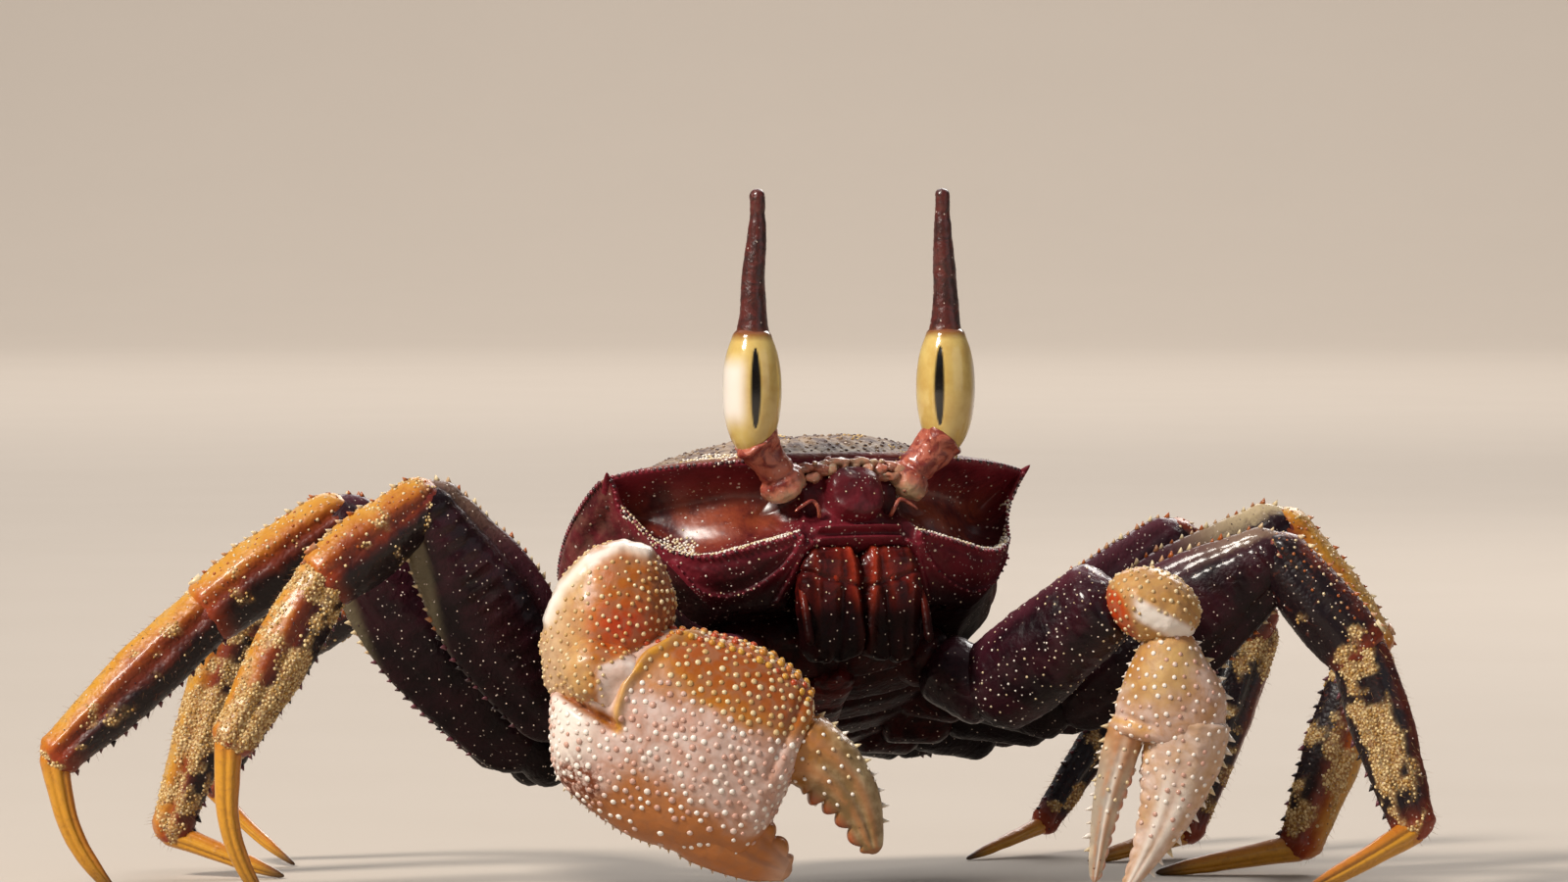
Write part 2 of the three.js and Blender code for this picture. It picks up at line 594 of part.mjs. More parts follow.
function addArm(name, arm) {
  const [hip, root, knee] = arm.joints.map(vector);
  const girth = ARM_GIRTH[name];
  const base = stretchBetween(hip, root);
  const merus = stretchBetween(root, knee);
  const carpus = stretchBetween(...arm.carpus.map(vector));
  const palm = stretch(vector(arm.wrist), arm.hand.length, arm.heading * DEG, arm.slope * DEG);
  hips.push({ ischium: base, girth: ARM_COXA });

  const stubBody = grow => cutAt(
    limb({
      length: base.length, over: [1, 3], grow, along: 5, deep: () => girth.base, wide: () => girth.base,
    }),
    base.frame, base.from, base.way);
  clearances.push(moved(stubBody(GAP), base.frame, shellFrame));
  let stub = stubBody(0);
  stub = cutAt(stub, base.frame, base.to, back(bend(base, merus)));
  addPiece(`claw_${name}_ischium`, stub, 'thigh', base);

  const swell = size => t => size * (0.82 + 0.24 * Math.sin(Math.PI * (0.2 + 0.7 * t)));
  const thighBody = grow => limb({
    length: merus.length, over: [3, 2], grow, deep: swell(girth.merus), wide: swell(MERUS_WIDE),
  });
  clearances.push(moved(thighBody(GAP), merus.frame, shellFrame));
  let thigh = thighBody(0);
  thigh = cutAt(thigh, merus.frame, merus.from, bend(base, merus));
  addPiece(`claw_${name}_merus`, thigh, 'thigh', merus);

  // The carpus is a knob that caps the end of the merus and sits in a hollow of the palm.
  const [knobDeep, knobWide] = girth.carpus;
  const knob = grow => ellipsoid(
    [carpus.length / 2, 0, 0], [carpus.length / 2 + knobDeep * KNOB_REACH, knobWide, knobDeep], grow);
  const socket = moved(thighBody(GAP), merus.frame, carpus.frame);
  addPiece(`claw_${name}_carpus`, knob(0).subtract(socket), 'claw', carpus);

  const { length, depth, top, under } = arm.hand;
  const shape = FINGERS[name];
  const first = top[0][0];
  const span = length - first;
  const at = t => first + span * t;
  const block = limb({
    length: span, around: 14, along: 11, keel: 0.9,
    deep: t => (through(top, at(t)) - through(under, at(t))) / 2,
    wide: t => depth / 2 * (0.55 + 0.45 * Math.sin(Math.PI * (0.15 + 0.7 * t))),
    mid: t => (through(top, at(t)) + through(under, at(t))) / 2,
  }).translate([first, 0, 0]);
  const fixed = fingerBody(
    shape.fixedRoot, shape.fixedTip, shape.fixedDeep, [depth * 0.3, 0.6], shape.fixedBow);
  const ridge = spaced({ count: MARGIN.count, from: first + 4, to: length - 1 }).flatMap(x => [
    spine([x, 0, through(top, x) - 0.2], [0.3, 0, 1], MARGIN.tall, MARGIN.radius),
    spine([x, 0, through(under, x) + 0.2], [0.5, 0, -1], MARGIN.tall, MARGIN.radius),
  ]);
  const hollow = joined([
    moved(knob(GAP), carpus.frame, palm.frame), moved(thighBody(GAP), merus.frame, palm.frame),
  ]);
  addPiece(`claw_${name}_palm`, joined([block, fixed, ...ridge]).subtract(hollow), 'claw', palm);

  const finger = fingerBody(shape.hinge, shape.tip, shape.deep, shape.wide, shape.bow)
    .trimByPlane([1, 0, 0], length + GAP);
  addPiece(`claw_${name}_finger`, finger, 'finger', palm);
}

// ---------------------------------------------------------------- assembly

LEGS.forEach(addLeg);
Object.entries(ARMS).forEach(([name, arm]) => addArm(name, arm));

// First segments of the limbs, fused to the breast; depth and width are shares of the merus's.
const COXA = { length: 8, deep: 0.36, wide: 0.56, taper: 0.04 };

const coxae = hips.map(({ ischium, girth }) => {
  const stub = limb({
    length: COXA.length, over: [0, 1], around: 8, along: 4,
    deep: t => girth[0] * (COXA.deep - COXA.taper * t),
    wide: t => girth[1] * (COXA.wide - COXA.taper * t),
  }).translate([-COXA.length, 0, 0]);
  const cut = cutAt(stub, ischium.frame, ischium.from, ischium.way.clone().negate());
  return moved(cut, ischium.frame, shellFrame);
});

const sides = [['right', -1], ['left', 1]];
const toShell = body => moved(body, new THREE.Matrix4(), shellFrame);

let shell = shellBlock().trimByPlane([0, 0, 1], SHELL.floorZ);
const bumps = [ellipsoid(ROSTRUM.centre, ROSTRUM.reach)];
for (const [, side] of sides) {
  shell = shell.subtract(orbitBowl(side));
  bumps.push(...marginSpines(side));
}
shell = joined([shell, ...bumps]);
let belly = joined([ellipsoid(BELLY.centre, BELLY.reach, 0, 18, 9), ...coxae]);
for (const [, side] of sides) {
  shell = shell.subtract(toShell(stalkBody(side, GAP)));
  shell = shell.subtract(mouthPlate(side, GAP)).subtract(feelerBody(side, GAP));
  belly = belly.subtract(mouthPlate(side, GAP));
}
const cleared = joined(clearances);
shell = shell.subtract(cleared);
belly = belly.subtract(tailPlate(GAP)).subtract(cleared).trimByPlane([0, 0, -1], -BELLY.top);

addPiece('carapace', shell, 'shell', { parent: shellGroup });
addPiece('underbody', belly, 'belly', { parent: shellGroup });
addPiece('abdomen', tailPlate(0), 'belly', { parent: shellGroup });
for (const [name, side] of sides) {
  addPiece(`maxilliped_${name}`, mouthPlate(side, 0), 'belly', { parent: shellGroup });
  addPiece(`antenna_${name}`, feelerBody(side, 0), 'belly', { parent: shellGroup });
  addPiece(`eyestalk_${name}`, stalkBody(side, 0).subtract(eyeBody(side, GAP)), 'stalk');
  addPiece(`eye_${name}`, eyeBody(side, 0), 'cornea');
  addPiece(`horn_${name}`, hornBody(side).subtract(eyeBody(side, GAP)), 'horn');
}

// The origin goes to the middle of the crab's own box, on the ground.
const box = new THREE.Box3().setFromObject(crab, true);
const middle = box.getCenter(new THREE.Vector3()).setZ(box.min.z);
for (const child of crab.children) child.position.sub(middle);

export default crab;
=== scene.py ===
import math
from functools import lru_cache
from itertools import product

import bpy
import numpy as np
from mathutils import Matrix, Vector


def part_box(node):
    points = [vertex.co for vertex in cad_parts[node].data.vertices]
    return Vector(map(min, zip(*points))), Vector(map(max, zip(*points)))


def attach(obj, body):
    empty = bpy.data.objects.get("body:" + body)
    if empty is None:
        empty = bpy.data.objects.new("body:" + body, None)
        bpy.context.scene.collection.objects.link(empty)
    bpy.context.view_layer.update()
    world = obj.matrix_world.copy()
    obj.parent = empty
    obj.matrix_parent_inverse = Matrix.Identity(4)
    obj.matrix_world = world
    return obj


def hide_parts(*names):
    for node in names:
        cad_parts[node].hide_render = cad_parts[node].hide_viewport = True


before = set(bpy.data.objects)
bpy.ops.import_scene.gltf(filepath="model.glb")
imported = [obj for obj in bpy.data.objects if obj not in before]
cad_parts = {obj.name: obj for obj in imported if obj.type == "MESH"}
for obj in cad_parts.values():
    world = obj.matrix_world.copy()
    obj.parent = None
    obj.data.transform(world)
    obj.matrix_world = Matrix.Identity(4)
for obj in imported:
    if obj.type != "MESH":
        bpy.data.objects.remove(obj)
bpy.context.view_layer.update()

bl_info = {
    "name": "Ghost Crab",
    "version": (1, 0, 0),
    "blender": (4, 5, 0),
    "location": "View3D > Sidebar > Crab",
    "description": "Dresses the packed ghost crab with its plates, granules, spines, hair and sand",
    "category": "Object",
}

MM = 1000                       # millimetres in a metre

# ---- driving sizes, in millimetres
# The crab faces -Y and its right side is -X.

RIGHT_LEFT = (("right", -1), ("left", 1))

SHELL = {
    "rise": 33.0, "tip": math.radians(27), "tooth_x": 25.2, "front_mid": -20.6, "front_sweep": 7.2,
    "back": 20.5, "crown": 5.6, "floor": -9.5, "lower_tuck": 0.2, "cheek_tuck": 0.13,
    "chin_z": -3.0, "chin_fall": 5.5, "chin_run": 9.0,
    "orbit_sweep": 4.0, "sweep_top": 6.2, "sweep_run": 3.2, "sweep_fade": 6.0, "plate_thick": 6.2,
    "half_width": [(-16, 24.6), (-13, 25.2), (-7, 25.7), (0, 25.0), (7, 22.9), (14, 18.2), (20, 12.0)],
    "margin_z": [(-21, 5.2), (-14, 6.5), (-6, 5.6), (6, 3.6), (20, 0.5)],
}
STALK = {"root": (6.6, -16.4, 43.2), "neck": (11.2, -17.3, 49.2)}
EYE = {"centre": (11.5, -17.4, 54.6), "reach": (3.1, 3.3, 7.2)}
HORN = {"root": (11.4, -17.5, 62.0), "tip": (11.0, -17.7, 76.2), "thick": 1.35, "fine": 0.75}
BELLY = {"centre": (0, 3, -11.2), "reach": (17, 16.5, 4.6)}
TAIL = {"start": 18.0, "length": 27.0, "base": 8.8, "tip": 2.6, "thick": 0.9}
MOUTH = {"centre": (3.65, -17.1, -10.3), "reach": (3.5, 1.8, 6.2), "lean": math.radians(22)}

# Hip, then lengths of ischium, merus, carpus, propodus and dactyl, then depth and width of the merus.
ROWS = {
    "p2": ((19, -8, 21.5), (10, 29.5, 13.8, 20, 18.2), (12.6, 6.0)),
    "p3": ((20, -1, 19), (10, 33.7, 17, 22.6, 16.6), (12.6, 6.2)),
    "p4": ((19, 6, 17), (9.5, 33.5, 16, 25, 14), (11.6, 6.0)),
    "p5": ((14, 12.5, 15.5), (7.5, 27.5, 12.6, 18.3, 13.3), (8.2, 4.4)),
}
FULL_DEPTH = ROWS["p2"][2][0]           # the details of the other legs are scaled from the front legs' depth
# Side, heading in degrees, slopes of the first four lengths, and how far the toe swings out of plane.
LEGS = {
    "right_p2": (-1, 1, (-18, 55, -35, -58), 0),
    "right_p3": (-1, 14, (-25, 50, -36, -43), 0),
    "right_p4": (-1, 39, (-18, 51, -46, -72), 0),
    "right_p5": (-1, 50, (-6, 34, -27, -61), 0),
    "left_p2": (1, -40, (-10, 34, -49, -72), 52),
    "left_p3": (1, -17, (-4, 36, -55, -110), 0),
    "left_p4": (1, 10, (-7, 37, -41, -115), 0),
    "left_p5": (1, 21, (-8, 15, -26, -136), 0),
}
ARMS = {
    "right": {
        "joints": ((-12, -14, 25.5), (-16, -17.5, 22.5), (-30, -26.8, 30)), "base": 3.9, "merus": 4.6,
        "carpus": ((-30.7, -27.3, 35.4), (-34.3, -26.2, 24.4)), "knob": (6.6, 6.0),
        "wrist": (-35, -28, 22.8), "heading": -25, "slope": -25,
    },
    "left": {
        "joints": ((12, -14, 24.5), (16.5, -18, 21.3), (24, -31, 32)), "base": 3.9, "merus": 5.2,
        "carpus": ((25.4, -33.5, 32.6), (30.2, -35.8, 30.2)), "knob": (3.9, 4.4),
        "wrist": (29.6, -35.6, 28.4), "heading": 155, "slope": -74,
    },
}
# The view is from 25 degrees towards the crab's right and 2 degrees up, from a metre away.
VIEW = {
    "right": (0.9063, -0.4226, 0), "near": (-0.4226, -0.9063, 0), "dip": math.radians(2),
    "target": (0.317, -0.148, 48.4), "lens": 210.4, "sensor": 36,
}


def middle_of(node):
    low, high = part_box(node)
    return np.array((low + high) / 2) * MM


OFFSET = middle_of("eye_left") - np.array(EYE["centre"])    # from the sizes' origin to the frame's

# ---- curves and noise


def clamp(value):
    return np.clip(value, 0, 1)


def ease(value):
    value = clamp(value)
    return value * value * (3 - 2 * value)


def signed_power(value, power):
    return np.sign(value) * abs(value) ** power


def through(stops, place):
    """Values at places on a smooth curve through (place, value) stops."""
    xs, ys = np.array(stops, float).T
    order = np.arange(len(xs))
    before, after = np.maximum(order - 1, 0), np.minimum(order + 1, len(xs) - 1)
    gradient = (ys[after] - ys[before]) / (xs[after] - xs[before])
    place = np.asarray(place, float)
    i = np.clip(np.searchsorted(xs, place, side="right") - 1, 0, len(xs) - 2)
    span = xs[i + 1] - xs[i]
    t = clamp((place - xs[i]) / span)
    start = (2 * t**3 - 3 * t**2 + 1) * ys[i] + (t**3 - 2 * t**2 + t) * span * gradient[i]
    end = (3 * t**2 - 2 * t**3) * ys[i + 1] + (t**3 - t**2) * span * gradient[i + 1]
    return start + end


def scramble(cells, seed):
    """A repeatable number from 0 to 1 for each whole-numbered cell."""
    n = cells[..., 0] * 73856093 ^ cells[..., 1] * 19349663 ^ cells[..., 2] * 83492791 ^ (seed * 7919 + 11)
    n = (n ^ (n >> 13)) * 1274126177
    n = n ^ (n >> 16)
    return (n & 0xFFFFFF) / 0xFFFFFF


def cloud(points, size, seed):
    """Smooth noise from -1 to 1 whose lumps are about size across."""
    spot = np.asarray(points, float) / size
    cell = np.floor(spot).astype(np.int64)
    part = spot - cell
    part = part * part * (3 - 2 * part)
    total = 0
    for corner in product((0, 1), repeat=3):
        weight = np.prod(np.where(corner, part, 1 - part), axis=-1)
        total = total + weight * scramble(cell + np.array(corner), seed)
    return total * 2 - 1


def pebbles(points, size, seed):
    """Rounded grains about size apart: 1 at a grain's top and 0 between grains."""
    spot = np.asarray(points, float) / size
    cell = np.floor(spot).astype(np.int64)
    nearest = np.full(spot.shape[:-1], 9.0)
    for step in product((-1, 0, 1), repeat=3):
        other = cell + np.array(step)
        shake = np.stack([scramble(other, seed + k) for k in range(3)], axis=-1)
        nearest = np.minimum(nearest, np.linalg.norm(spot - other - 0.15 - 0.7 * shake, axis=-1))
    return clamp(1 - nearest * 1.5)


def bell(distance, width):
    return np.exp(-((distance / width) ** 2))


def unit(rows):
    """Directions one long."""
    return rows / np.maximum(np.linalg.norm(rows, axis=1, keepdims=True), 1e-12)


def turns(count):
    """Angles at even steps round a circle."""
    return np.arange(count) * 2 * np.pi / count


def stations(count):
    """Places from 0 to 1 that lie closer at the ends."""
    return 0.5 - 0.5 * np.cos(np.pi * (np.arange(count) + 0.35) / (count - 0.3))


def off_line(x, z, stops):
    """How far points lie from a bent line through (x, z) stops."""
    nearest = np.full(np.shape(x), 1e9)
    for (ax, az), (bx, bz) in zip(stops, stops[1:]):
        run = (bx - ax) ** 2 + (bz - az) ** 2
        t = clamp(((x - ax) * (bx - ax) + (z - az) * (bz - az)) / run)
        nearest = np.minimum(nearest, np.hypot(x - ax - t * (bx - ax), z - az - t * (bz - az)))
    return nearest


def along_line(x, z, stops, width):
    """1 on a bent line, falling to 0 about width away from it."""
    return bell(off_line(x, z, stops), width)


# ---- forms


class Form:
    """Closed surfaces in millimetres, with numbers per point that the finishes read."""

    def __init__(self, points, quads, tris=(), **traits):
        self.points = np.asarray(points, float)
        self.quads = np.asarray(quads, int).reshape(-1, 4)
        self.tris = np.asarray(tris, int).reshape(-1, 3)
        self.traits = {key: np.asarray(value, float).ravel() for key, value in traits.items()}

    def triangles(self):
        halves = [self.quads[:, [0, 1, 2]], self.quads[:, [0, 2, 3]]]
        return np.concatenate(halves + [self.tris])

    def outward(self):
        """Turns the faces round if they enclose a negative volume."""
        a, b, c = (self.points[self.triangles()[:, k]] for k in range(3))
        if np.sum(a * np.cross(b, c)) < 0:
            self.quads, self.tris = self.quads[:, ::-1], self.tris[:, ::-1]
        return self

    def normals(self):
        tris = self.triangles()
        a, b, c = (self.points[tris[:, k]] for k in range(3))
        face = np.cross(b - a, c - a)
        total = np.zeros_like(self.points)
        for k in range(3):
            np.add.at(total, tris[:, k], face)
        return unit(total)

    def wear(self, **traits):
        """Sets traits: one number each, or one for every point."""
        for key, value in traits.items():
            self.traits[key] = np.broadcast_to(value, len(self.points)).astype(float)
        return self

    def swell(self, height):
        self.points = self.points + self.normals() * np.asarray(height)[:, None]
        return self


def together(*forms):
    keys = {key for form in forms for key in form.traits}
    starts = np.cumsum([0] + [len(form.points) for form in forms])
    whole = Form(
        np.concatenate([form.points for form in forms]),
        np.concatenate([form.quads + start for form, start in zip(forms, starts)]),
        np.concatenate([form.tris + start for form, start in zip(forms, starts)]),
    )
    for key in keys:
        parts = [form.traits.get(key, np.zeros(len(form.points))) for form in forms]
        whole.traits[key] = np.concatenate(parts)
    return whole


def wrapped(grid, **traits):
    """A closed form from rings of points, each end drawn to a point."""
    rings, around = grid.shape[:2]
    points = np.concatenate([grid.reshape(-1, 3), [grid[0].mean(0)], [grid[-1].mean(0)]])
    r, c = np.meshgrid(np.arange(rings - 1), np.arange(around), indexing="ij")
    nxt = (c + 1) % around
    quads = np.stack([r * around + c, r * around + nxt, (r + 1) * around + nxt, (r + 1) * around + c], -1)
    c = np.arange(around)
    nxt = (c + 1) % around
    first, last = rings * around, rings * around + 1
    tris = np.concatenate([
        np.stack([np.full(around, first), nxt, c], -1),
        np.stack([np.full(around, last), (rings - 1) * around + c, (rings - 1) * around + nxt], -1),
    ])
    full = {}
    for key, value in traits.items():
        value = np.broadcast_to(value, (rings, around))
        full[key] = np.concatenate([value.ravel(), [value[0].mean(), value[-1].mean()]])
    return Form(points, quads.reshape(-1, 4), tris, **full).outward()


class Line:
    """A straight stretch between two joints, with its own frame."""

    def __init__(self, start, length, heading, slope):
        self.start, self.length = np.array(start, float), length
        flat = np.array([math.cos(heading), math.sin(heading), 0])
        self.way = flat * math.cos(slope) + np.array([0, 0, math.sin(slope)])
        self.side = np.array([-math.sin(heading), math.cos(heading), 0])
        self.up = np.cross(self.way, self.side)
        self.end = self.start + self.way * length

    @classmethod
    def between(cls, start, end):
        run = np.array(end, float) - np.array(start, float)
        length = float(np.linalg.norm(run))
        return cls(start, length, math.atan2(run[1], run[0]), math.asin(run[2] / length))

    def place(self, x, y, z):
        x, y, z = np.broadcast_arrays(x, y, z)
        return self.start + x[..., None] * self.way + y[..., None] * self.side + z[..., None] * self.up

    def local(self, points):
        return (np.asarray(points) - self.start) @ np.stack([self.way, self.side, self.up], 1)


class ShellFrame(Line):
    """The shell's own frame, tipped front-up."""

    def __init__(self):
        tip = SHELL["tip"]
        self.start, self.length = np.array([0, 0, SHELL["rise"]]), 1
        self.way = np.array([1.0, 0, 0])
        self.side = np.array([0, math.cos(tip), -math.sin(tip)])
        self.up = np.array([0, math.sin(tip), math.cos(tip)])


BODY = ShellFrame()


def limb(line, path, deep, wide, cap, keel, around, along, flare=0.0):
    """A limb along (x, z) stops. deep and wide are its half depth and half width, cap its ends' rounding."""
    path = np.array(path, float)
    reach = np.concatenate([[0], np.cumsum(np.linalg.norm(np.diff(path, axis=0), axis=1))])
    reach = reach / reach[-1]
    t = stations(along)[:, None]
    bends = [list(zip(reach, path[:, k])) for k in (0, 1)]
    x, z = (through(bend, t) for bend in bends)
    dx, dz = (through(bend, t + 1e-3) - through(bend, t - 1e-3) for bend in bends)
    size = np.maximum(np.hypot(dx, dz), 1e-9)
    dx, dz = dx / size, dz / size
    closing = np.sqrt(clamp(1 - clamp(1 - t / cap[0]) ** 2))
    closing = closing * np.sqrt(clamp(1 - clamp(1 - (1 - t) / cap[1]) ** 2))
    closing = closing * (1 + flare * bell(t - 0.93, 0.025))
    angle = turns(around)[None, :]
    high = through(deep, t) * closing * np.sin(angle)
    across = through(wide, t) * closing * signed_power(np.cos(angle), keel)
    grid = line.place(x - dz * high, across, z + dx * high)
    return wrapped(grid, along=t, edge=np.sin(angle), side=np.cos(angle))


def blob(line, centre, reach, lean, power, around, along):
    """A rounded lump in a line's frame, leaning back about its X axis."""
    polar = (np.pi * (np.arange(along) + 0.5) / along)[:, None]
    turn = turns(around)[None, :]
    ring = signed_power(np.sin(polar), power)
    x = reach[0] * ring * signed_power(np.cos(turn), power)
    y = reach[1] * ring * signed_power(np.sin(turn), power)
    z = -reach[2] * signed_power(np.cos(polar), power)
    y, z = y * math.cos(lean) - z * math.sin(lean), y * math.sin(lean) + z * math.cos(lean)
    grid = line.place(centre[0] + x, centre[1] + y, centre[2] + z)
    return wrapped(grid, along=0.5 - 0.5 * np.cos(polar), edge=np.sin(turn))


def ball(centre, reach, power, around, along):
    """A rounded lump that stands straight, about a centre."""
    return blob(Line(centre, 1, 0, 0), (0, 0, 0), reach, 0, power, around, along)


def rope(path, radius, around, steps):
    """A thin round strand through points, fine at its end."""
    path = np.array(path, float)
    place = np.linspace(0, 1, len(path))
    t = np.linspace(0, 1, steps)
    spine = np.stack([through(list(zip(place, path[:, k])), t) for k in range(3)], -1)
    way = unit(np.gradient(spine, axis=0))
    side = unit(np.cross(way, [0.3, 0.2, 0.93]))
    up = np.cross(way, side)
    thick = radius[0] + (radius[1] - radius[0]) * t
    thick = thick * np.sqrt(np.clip(1 - (2 * t - 1) ** 12, 0.02, 1))
    turn = turns(around)
    grid = spine[:, None] + thick[:, None, None] * (
        np.cos(turn)[None, :, None] * side[:, None] + np.sin(turn)[None, :, None] * up[:, None])
    return wrapped(grid, along=t[:, None])


# ---- pieces


def placed(name, points, faces, traits):
    """A mesh object in the scene, from points in millimetres and numbers for each of them."""
    mesh = bpy.data.meshes.new(name)
    mesh.from_pydata(((points + OFFSET) / MM).tolist(), [], faces)
    for key, value in traits.items():
        mesh.attributes.new(key, "FLOAT", "POINT").data.foreach_set("value", value)
    thing = bpy.data.objects.new(name, mesh)
    bpy.context.scene.collection.objects.link(thing)
    return thing


def piece(name, form, cover, slot, *nodes):
    """Makes a form a mesh piece that stands for its CAD nodes."""
    thing = placed(name, form.points, form.quads.tolist() + form.tris.tolist(), form.traits)
    thing.data.materials.append(finish(cover))
    thing.data.shade_smooth()
    thing.data.update()
    dressed(thing, slot, *nodes)


def dressed(thing, slot, *nodes):
    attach(thing, "root")
    if nodes:
        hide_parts(*nodes)


FULL_TURN = 6.283
# Width and height of each small shape, in shares of its size.
SEEDS = {"dome": (1.0, 0.75), "spine": (0.5, 1.0), "grain": (1.0, 0.8), "hair": (0.05, 1.0)}


def seed_tree(kind):
    """A node tree that sets one small shape on every point, turned to the point's own aim."""
    name = f"Crab {kind}"
    if name in bpy.data.node_groups:
        return bpy.data.node_groups[name]
    tree = bpy.data.node_groups.new(name, "GeometryNodeTree")
    tree.is_modifier = True
    tree.interface.new_socket("Geometry", in_out="INPUT", socket_type="NodeSocketGeometry")
    for label, value in zip(("Width", "Height"), SEEDS[kind]):
        tree.interface.new_socket(label, in_out="INPUT", socket_type="NodeSocketFloat").default_value = value
    tree.interface.new_socket("Seed", in_out="INPUT", socket_type="NodeSocketInt").default_value = 7
    tree.interface.new_socket("Finish", in_out="INPUT", socket_type="NodeSocketMaterial")
    tree.interface.new_socket("Geometry", in_out="OUTPUT", socket_type="NodeSocketGeometry")

    def node(kind_of, settings=(), **values):
        made = tree.nodes.new(kind_of)
        for key, value in dict(settings).items():
            setattr(made, key, value)
        for key, value in values.items():
            socket = made.inputs[key.replace("_", " ")]
            if isinstance(value, bpy.types.NodeSocket):
                tree.links.new(value, socket)
            else:
                socket.default_value = value
        return made

    given = tree.nodes.new("NodeGroupInput").outputs
    if kind == "dome":
        shape = node("GeometryNodeMeshUVSphere", Segments=8, Rings=4, Radius=0.5).outputs["Mesh"]
    elif kind == "grain":
        shape = node("GeometryNodeMeshIcoSphere", Subdivisions=1, Radius=0.5).outputs["Mesh"]
    else:
        sides = 6 if kind == "spine" else 3
        cone = node("GeometryNodeMeshCone", Vertices=sides, Radius_Top=0.06, Radius_Bottom=0.5, Depth=1.0)
        sunk = node("GeometryNodeTransform", Geometry=cone.outputs["Mesh"], Translation=(0, 0, -0.15))
        shape = sunk.outputs[0]
    aim = node("GeometryNodeInputNamedAttribute", {"data_type": "FLOAT_VECTOR"}, Name="aim")
    size = node("GeometryNodeInputNamedAttribute", {"data_type": "FLOAT"}, Name="size")
    stand = node("FunctionNodeAlignRotationToVector", {"axis": "Z"}, Vector=aim.outputs["Attribute"])
    chance = node("FunctionNodeRandomValue", {"data_type": "FLOAT"}, Seed=given["Seed"])
    chance.inputs[2].default_value, chance.inputs[3].default_value = 0.0, FULL_TURN
    spin = node("FunctionNodeAxisAngleToRotation", Angle=chance.outputs[1])
    spin.inputs["Axis"].default_value = (0, 0, 1)
    turned = node("FunctionNodeRotateRotation", {"rotation_space": "LOCAL"})
    tree.links.new(stand.outputs[0], turned.inputs[0])
    tree.links.new(spin.outputs[0], turned.inputs[1])
    scale = tree.nodes.new("ShaderNodeCombineXYZ")
    for axis, source in enumerate(("Width", "Width", "Height")):
        times = node("ShaderNodeMath", {"operation": "MULTIPLY"})
        tree.links.new(given[source], times.inputs[0])
        tree.links.new(size.outputs["Attribute"], times.inputs[1])
        tree.links.new(times.outputs[0], scale.inputs[axis])
    placed = node("GeometryNodeInstanceOnPoints", Points=given["Geometry"], Instance=shape,
                  Rotation=turned.outputs[0], Scale=scale.outputs[0])
    real = node("GeometryNodeRealizeInstances", Geometry=placed.outputs[0])
    smooth = node("GeometryNodeSetShadeSmooth", Geometry=real.outputs[0])
    painted = node("GeometryNodeSetMaterial", Geometry=smooth.outputs[0], Material=given["Finish"])
    end = tree.nodes.new("NodeGroupOutput")
    tree.links.new(painted.outputs[0], end.inputs[0])
    return tree


def sown(name, kind, points, aims, sizes, cover, slot, **shape):
    """Many small shapes set on points by the kind's node tree, made one plain mesh piece."""
    points, aims = np.asarray(points), unit(np.asarray(aims, float))
    tint = scramble(np.floor(points * 50).astype(np.int64), 5)
    thing = placed(name, points, [], {"size": np.broadcast_to(sizes, len(points)) / MM, "tint": tint})
    thing.data.attributes.new("aim", "FLOAT_VECTOR", "POINT").data.foreach_set("vector", aims.ravel())
    tree = seed_tree(kind)
    grow = thing.modifiers.new("Sow", "NODES")
    grow.node_group = tree
    wanted = {"Finish": finish(cover), **shape}
    for socket in tree.interface.items_tree:
        if socket.in_out == "INPUT" and socket.name in wanted:
            grow[socket.identifier] = wanted[socket.name]
    graph = bpy.context.evaluated_depsgraph_get()
    plain = bpy.data.meshes.new_from_object(
        thing.evaluated_get(graph), preserve_all_data_layers=True, depsgraph=graph)
    thing.modifiers.clear()
    thing.data = plain
    dressed(thing, slot)


def sown_in_lots(name, lot, kind, points, aims, sizes, cover, slot, **shape):
    """Shapes that are too many for one piece, sown as pieces of lot shapes each."""
    for k in range(0, len(points), lot):
        part = slice(k, k + lot)
        sown(f"{name}_{k // lot}", kind, points[part], aims[part], sizes[part], cover, slot, **shape)


def joined(rows):
    """Rows of arrays made one row, each array the whole of its column."""
    return [np.concatenate(column) for column in zip(*rows)]


def strewn(form, spacing, seed, keep, tries=2.2):
    """Points on a form about spacing apart, where keep gives the share of them that stays."""
    rng = np.random.default_rng(seed)
    tris = form.triangles()
    a, b, c = (form.points[tris[:, k]] for k in range(3))
    face = np.cross(b - a, c - a)
    area = np.linalg.norm(face, axis=1) / 2
    count = int(area.sum() / spacing**2 * tries)
    pick = rng.choice(len(tris), count, p=area / area.sum())
    u, v = rng.random((2, count))
    u, v = np.where(u + v > 1, 1 - u, u), np.where(u + v > 1, 1 - v, v)
    points = a[pick] + u[:, None] * (b - a)[pick] + v[:, None] * (c - a)[pick]
    normals = face[pick] / np.maximum(2 * area[pick, None], 1e-12)
    traits = {key: value[tris[pick, 0]] for key, value in form.traits.items()}
    chosen = rng.random(count) < keep(points, normals, traits)
    taken, kept = {}, []
    for i in np.flatnonzero(chosen):
        cell = tuple((points[i] // spacing).astype(int))
        near = (taken.get((cell[0] + x, cell[1] + y, cell[2] + z), ())
                for x, y, z in product((-1, 0, 1), repeat=3))
        if all(np.sum((points[j] - points[i]) ** 2) > spacing**2 for group in near for j in group):
            taken.setdefault(cell, []).append(i)
            kept.append(i)
    return points[kept], normals[kept], {key: value[kept] for key, value in traits.items()}


# ---- finishes


